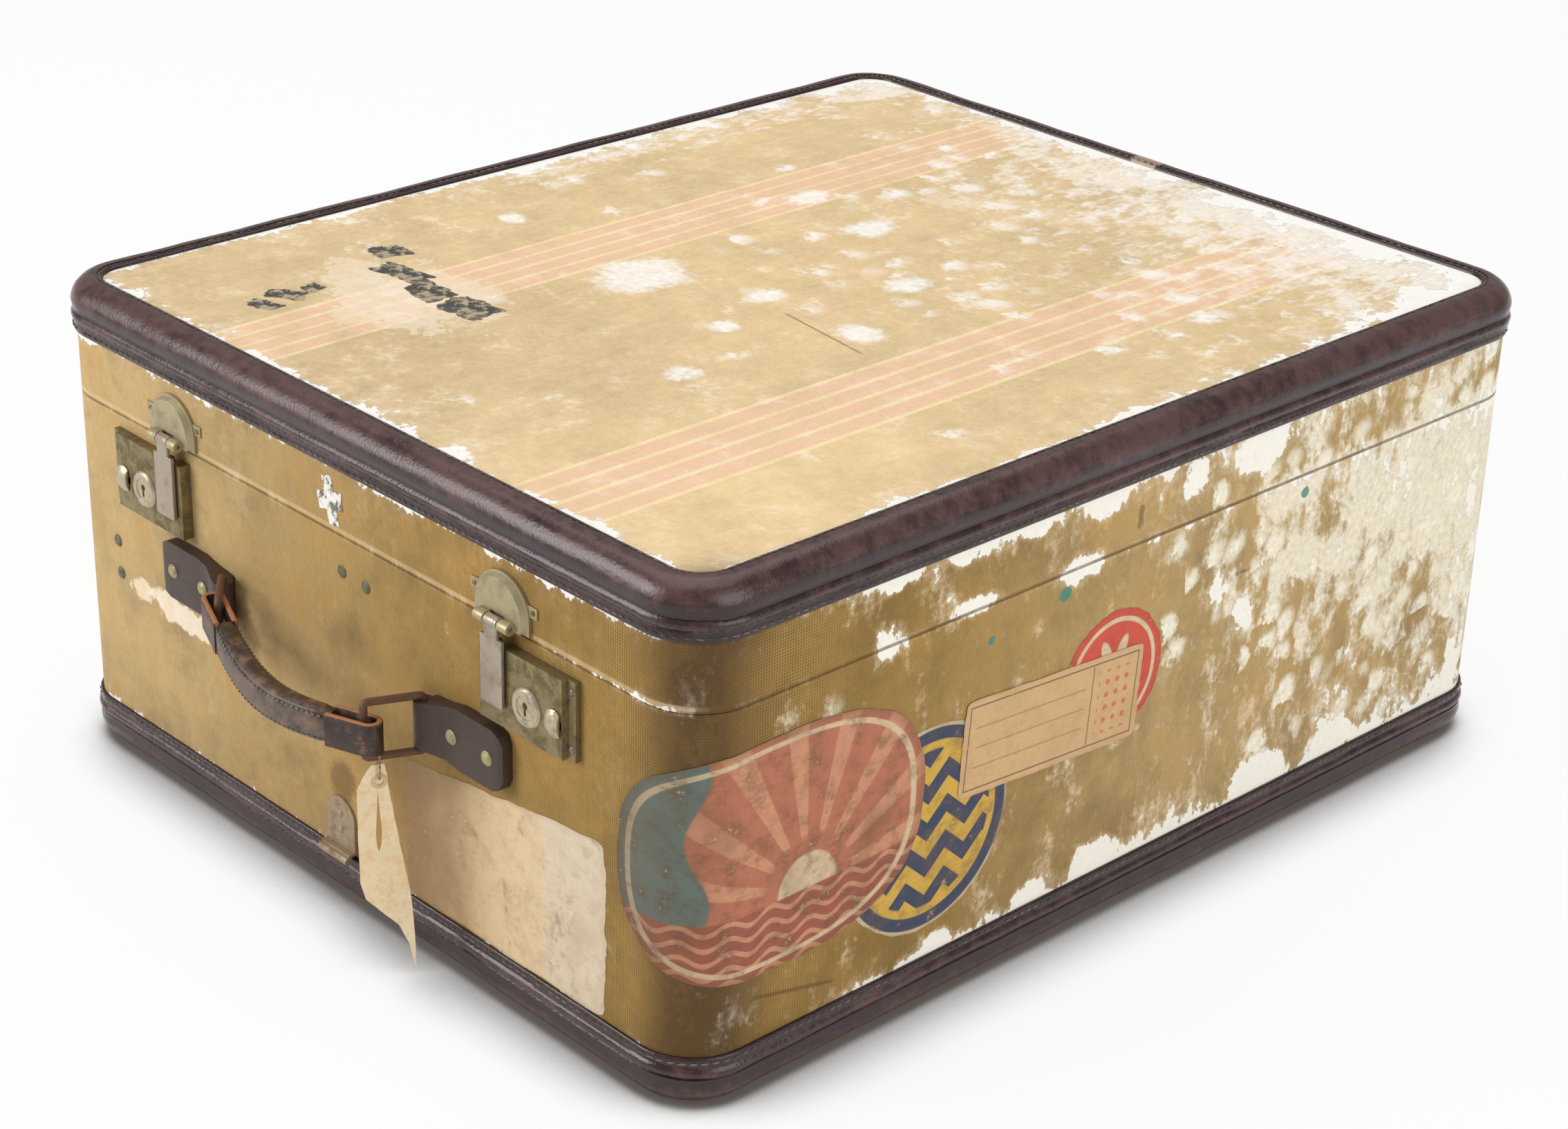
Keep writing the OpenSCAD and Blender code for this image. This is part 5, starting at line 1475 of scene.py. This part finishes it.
@dataclass
class Tag:
    """Torn manila tag on a string: split down its middle, curled, with a pointed foot.

    It hangs at a share along the right link. Levels are shares of its height from the top, with the edge away from
    the case and the edge towards it in outer and inner; slit is half the width of the split.
    """

    handle: Handle
    along: float = 0.78
    bar_z: float = 104.55
    hole_z: float = -11.2
    wide: float = 21.5
    long: float = 97.0
    thick: float = 0.5
    levels: tuple[float, ...] = (0.0, 0.05, 0.11, 0.35, 0.56, 0.64, 0.71, 0.79, 0.89, 1.0)
    outer: tuple[float, ...] = (2.6, 6.4, 9.2, 9.6, 9.5, 7.4, 1.6, -6.0, -10.2, -12.2)
    inner: tuple[float, ...] = (-2.4, -3.4, -3.8, -7.4, -10.4, -11.6, -12.0, -12.3, -12.6, -12.6)
    slit_levels: tuple[float, ...] = (0.13, 0.2, 0.34, 0.4, 0.43)
    slit: tuple[float, ...] = (0.15, 0.6, 1.7, 1.2, 0.0)

    def axes(self) -> tuple[np.ndarray, np.ndarray, np.ndarray]:
        """Middle of the bar in plan, the way along it from the case, and the way across it."""
        turn = math.radians(self.handle.link_turns[1])
        way = np.array([-math.cos(turn), math.sin(turn)])
        start = np.array([self.handle.bar_x, self.handle.bar_p])
        return start + self.along * self.handle.link * way, way, np.array([way[1], -way[0]])

    def spot(self, a: float, c: float, z: float) -> Point:
        """Point along the bar, across it and below it."""
        origin, way, across = self.axes()
        plan = origin + way * a + across * c
        return self.handle.point((plan[0], plan[1]), self.bar_z + z)

    def reach(self, v: float) -> tuple[float, float, float]:
        """Edge away from the case, edge towards it, and half the slit's width, at a share of the height."""
        out = np.interp(v, self.levels, self.outer)
        back = np.interp(v, self.levels, self.inner)
        return float(out), float(back), float(np.interp(v, self.slit_levels, self.slit))

    def curl(self, a: float, v: float) -> float:
        """How far the sheet bends out of its plane."""
        share = a / self.wide
        bow = 3.4 * math.sin(v * 3.6 + 0.2) * share + 5.0 * math.sin(v * 2.6) * share * share
        return (bow - 1.1 * math.sin(v * 5.2)) * min(1.0, v * 5.0)

    def paper(self, finish: bpy.types.Material) -> None:
        """Builds the sheet as a curled plate with a slit and a pointed foot."""
        piece = Piece("tag_sheet", "tag", "tag_paper")
        rows, half = 72, 9
        top = self.hole_z + 7.5
        columns: list[list[Point]] = []
        for side in (-1, 1):
            for k in range(half + 1):
                column = []
                for i in range(rows + 1):
                    v = i / rows
                    out, back, split = self.reach(v)
                    share = k / half if side > 0 else 1.0 - k / half
                    ragged = 0.3 * noise.noise(Vector((v * 16.0, side * 3.0, 1.0))) * share
                    start = side * split + min(max(0.5, back + 0.2), out - 0.2)
                    a = start + ((out if side > 0 else back) + ragged * (1.0 - v) - start) * share
                    level = self.curl(a, v) + side * 0.7 * split * (1.0 - share)
                    fall = 0.4 * noise.noise(Vector((a * 0.4, 2.0, v * 3.0)))
                    column.append((a, level, top - v * self.long + fall))
                columns.append(column)
        tall = rows + 1
        for shift in (self.thick / 2, -self.thick / 2):
            for column in columns:
                for a, c, z in column:
                    piece.verts.append(self.spot(a, c + shift, z))
                    piece.sheet.append((a, z, 0.0))
        sheet = len(columns) * tall
        cells = []
        for k in range(len(columns) - 1):
            for i in range(rows):
                if k == half and self.slit_levels[0] < (i + 0.5) / rows < self.slit_levels[-1]:
                    continue
                cells.append((k * tall + i, k * tall + i + 1, (k + 1) * tall + i + 1, (k + 1) * tall + i))
        edges = {(cell[m], cell[(m + 1) % 4]) for cell in cells for m in range(4)}
        piece.faces = [list(c) for c in cells] + [[sheet + i for i in c[::-1]] for c in cells]
        piece.faces += [[b, a, sheet + a, sheet + b] for a, b in sorted(edges) if (b, a) not in edges]
        piece.build(finish, "tag")

    def string(self, finish: bpy.types.Material) -> None:
        """Builds the string as two plies twisted round the loop's line."""
        piece = Piece("tag_string_plies", "tag", "tag_string")
        drop, bend, twist, ply_half = 8.0, 2.35, 0.24, 0.27
        count = 60
        line: list[Pair] = []
        for k in range(count):
            t = k / count * (2 * drop + math.tau * bend)
            if t < drop:
                line.append((bend, -t))
            elif t < drop + math.pi * bend:
                a = (t - drop) / bend
                line.append((bend * math.cos(a), -drop - bend * math.sin(a)))
            elif t < 2 * drop + math.pi * bend:
                line.append((-bend, -drop + (t - drop - math.pi * bend)))
            else:
                a = (t - 2 * drop - math.pi * bend) / bend
                line.append((-bend * math.cos(a), bend * math.sin(a)))
        for ply in (0.0, math.pi):
            rings = []
            for k, (c, z) in enumerate(line):
                before, after = np.array(line[k - 1]), np.array(line[(k + 1) % count])
                run = (after - before) / np.linalg.norm(after - before)
                phase = ply + k / count * math.tau * 6
                side = np.array([-run[1], run[0]])
                at = np.array([c, z]) + side * twist * math.cos(phase)
                ahead = twist * math.sin(phase)
                ring = []
                for cos, sin in turns(7):
                    q = at + side * ply_half * cos
                    ring.append(self.spot(ahead + ply_half * sin, q[0], q[1]))
                rings.append(ring)
            piece.tube(rings, closed=True)
        piece.build(finish, "tag_string", sharp=80.0)

    def dress(self, frame: dict) -> None:
        """Builds and finishes the tag."""
        pale, fair, warm = (1.0, 0.85, 0.57), (1.0, 0.84, 0.56), (0.98, 0.72, 0.43)
        manila = PaperFinish(pale, fair, warm, Motif.SCRAP, (12.0, 45.0), (0.55, 0.3, 0.13), 0.12)
        self.paper(manila.material("tag_manila"))
        self.string(ThreadFinish((0.6, 0.46, 0.3), (0.3, 0.2, 0.12)).material("tag_thread"))
        fibre = BoardFinish((0.72, 0.52, 0.3), (0.8, 0.6, 0.36)).material("tag_fibre")
        soften(frame, "tag_eyelet", "tag", "tag_fibre", fibre, 0.1)


@dataclass
class Studio:
    """Camera, lamps, floor and white surroundings; each lamp has its name, place in metres, size and power."""

    case: Case
    lens: float = 73.4127
    place: Point = (988.02, -951.15, 739.78)
    turn: Point = (1.12426942, -0.02552006, 0.81985291)
    lamps: tuple[tuple[str, Point, float, float], ...] = (
        ("lamp_above", (-0.3, 0.2, 2.2), 2.4, 22.0),
        ("lamp_front", (-1.5, -2.2, 1.3), 1.6, 48.0),
        ("lamp_right", (2.4, 0.2, 1.0), 1.8, 25.0),
    )
    aim: Point = (0.0, 0.0, 0.1)
    floor_half: float = 8.0
    sky: float = 0.37

    def camera(self) -> None:
        """Sets the camera where the photograph was taken from."""
        data = bpy.data.cameras.new("camera")
        data.lens, data.sensor_width, data.sensor_fit = self.lens, 36.0, "HORIZONTAL"
        data.clip_end = 50.0
        obj = stand("camera", data)
        obj.location = Vector((self.place[0], self.place[1] + self.case.middle_y, self.place[2])) * MM
        obj.rotation_euler = self.turn
        bpy.context.scene.camera = obj

    def lights(self) -> None:
        """Sets square lamps: a large one above, a soft one at the front left and a weak one at the right."""
        for name, place, size, power in self.lamps:
            data = bpy.data.lights.new(name, "AREA")
            data.shape, data.size, data.energy = "SQUARE", size, power
            obj = stand(name, data)
            obj.location = place
            obj.rotation_euler = (Vector(self.aim) - Vector(place)).to_track_quat("-Z", "Y").to_euler()

    def floor(self) -> None:
        """Lays a pale floor that looks white from the camera, with a soft shadow where the case stands."""
        mesh = bpy.data.meshes.new("floor")
        size = self.floor_half
        mesh.from_pydata([(-size, -size, 0), (size, -size, 0), (size, size, 0), (-size, size, 0)], [], [(0, 1, 2, 3)])
        floor = stand("floor", mesh)
        floor.location.z = -0.0004
        g = Graph("floor")
        g.feed(Base_Color=(0.9, 0.9, 0.895), Roughness=0.9, Specular_IOR_Level=0.1)
        camera, glossy = (g.node("ShaderNodeLightPath", {}, {}, out="Is " + w + " Ray") for w in ("Camera", "Glossy"))
        near = g.node("ShaderNodeAmbientOcclusion", {"samples": 16}, {"Distance": 0.065}, out="AO")
        shadow = g.mix(near.ramp(0.36, 0.8), (0.08, 0.065, 0.055), (1.0, 1.0, 1.0))
        glow = g.node("ShaderNodeEmission", {}, {"Color": shadow, "Strength": 1.0})
        shader = Channel(g, g.shader.outputs[0])
        both = g.node("ShaderNodeMixShader", {}, {0: camera.high(glossy) * 0.88, 1: shader, 2: glow})
        g.join(g.tree.nodes["Material Output"].inputs["Surface"], both)
        mesh.materials.append(g.material)

    def world(self) -> None:
        """Makes a white world that looks brighter than it lights."""
        world = bpy.data.worlds.new("white_room")
        world.use_nodes = True
        bpy.context.scene.world = world
        tree = world.node_tree
        back = tree.nodes["Background"]
        path = tree.nodes.new("ShaderNodeLightPath")
        mix = tree.nodes.new("ShaderNodeMix")
        mix.inputs[2].default_value, mix.inputs[3].default_value = self.sky, 1.0
        tree.links.new(path.outputs["Is Camera Ray"], mix.inputs[0])
        tree.links.new(mix.outputs[0], back.inputs["Strength"])
        back.inputs["Color"].default_value = (1.0, 1.0, 1.0, 1.0)

    def build(self) -> None:
        """Sets up the whole studio."""
        bpy.context.scene.view_settings.view_transform = "Standard"
        self.camera()
        self.lights()
        self.floor()
        self.world()


def main() -> None:
    """Loads the frame, builds every sub-assembly in order and writes the two boxes."""
    logging.basicConfig(level=logging.INFO, format="%(name)s: %(message)s")
    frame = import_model()
    low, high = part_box("base_binding")
    case = Case(middle_y=(low.y + high.y) / 2 / MM)
    Studio(case).build()
    case.dress(frame)
    # Binding leather: its rolls are lighter, partly from scuffs and partly a painted highlight.
    rim = LeatherFinish((0.03, 0.012, 0.0118), (0.22, 0.108, 0.094), rough=0.18, scuff=0.34, mottle=0.7)
    thread = ThreadFinish((0.22, 0.165, 0.125), (0.07, 0.045, 0.035)).material("binding_thread")
    for half in Half:
        binding = Binding(case, half)
        patch = (-10.0, 252.0, 229.0) if half is Half.LID else None
        binding.leather(rim.material(half.value + "_binding_leather", case.middle, patch))
        binding.stitching(thread)
    handle = Handle(case)
    handle.dress(frame)
    Locks().dress(frame)
    Fittings().dress(frame)
    Papers(case).dress()
    Tag(handle).dress(frame)


if __name__ == "__main__":
    main()
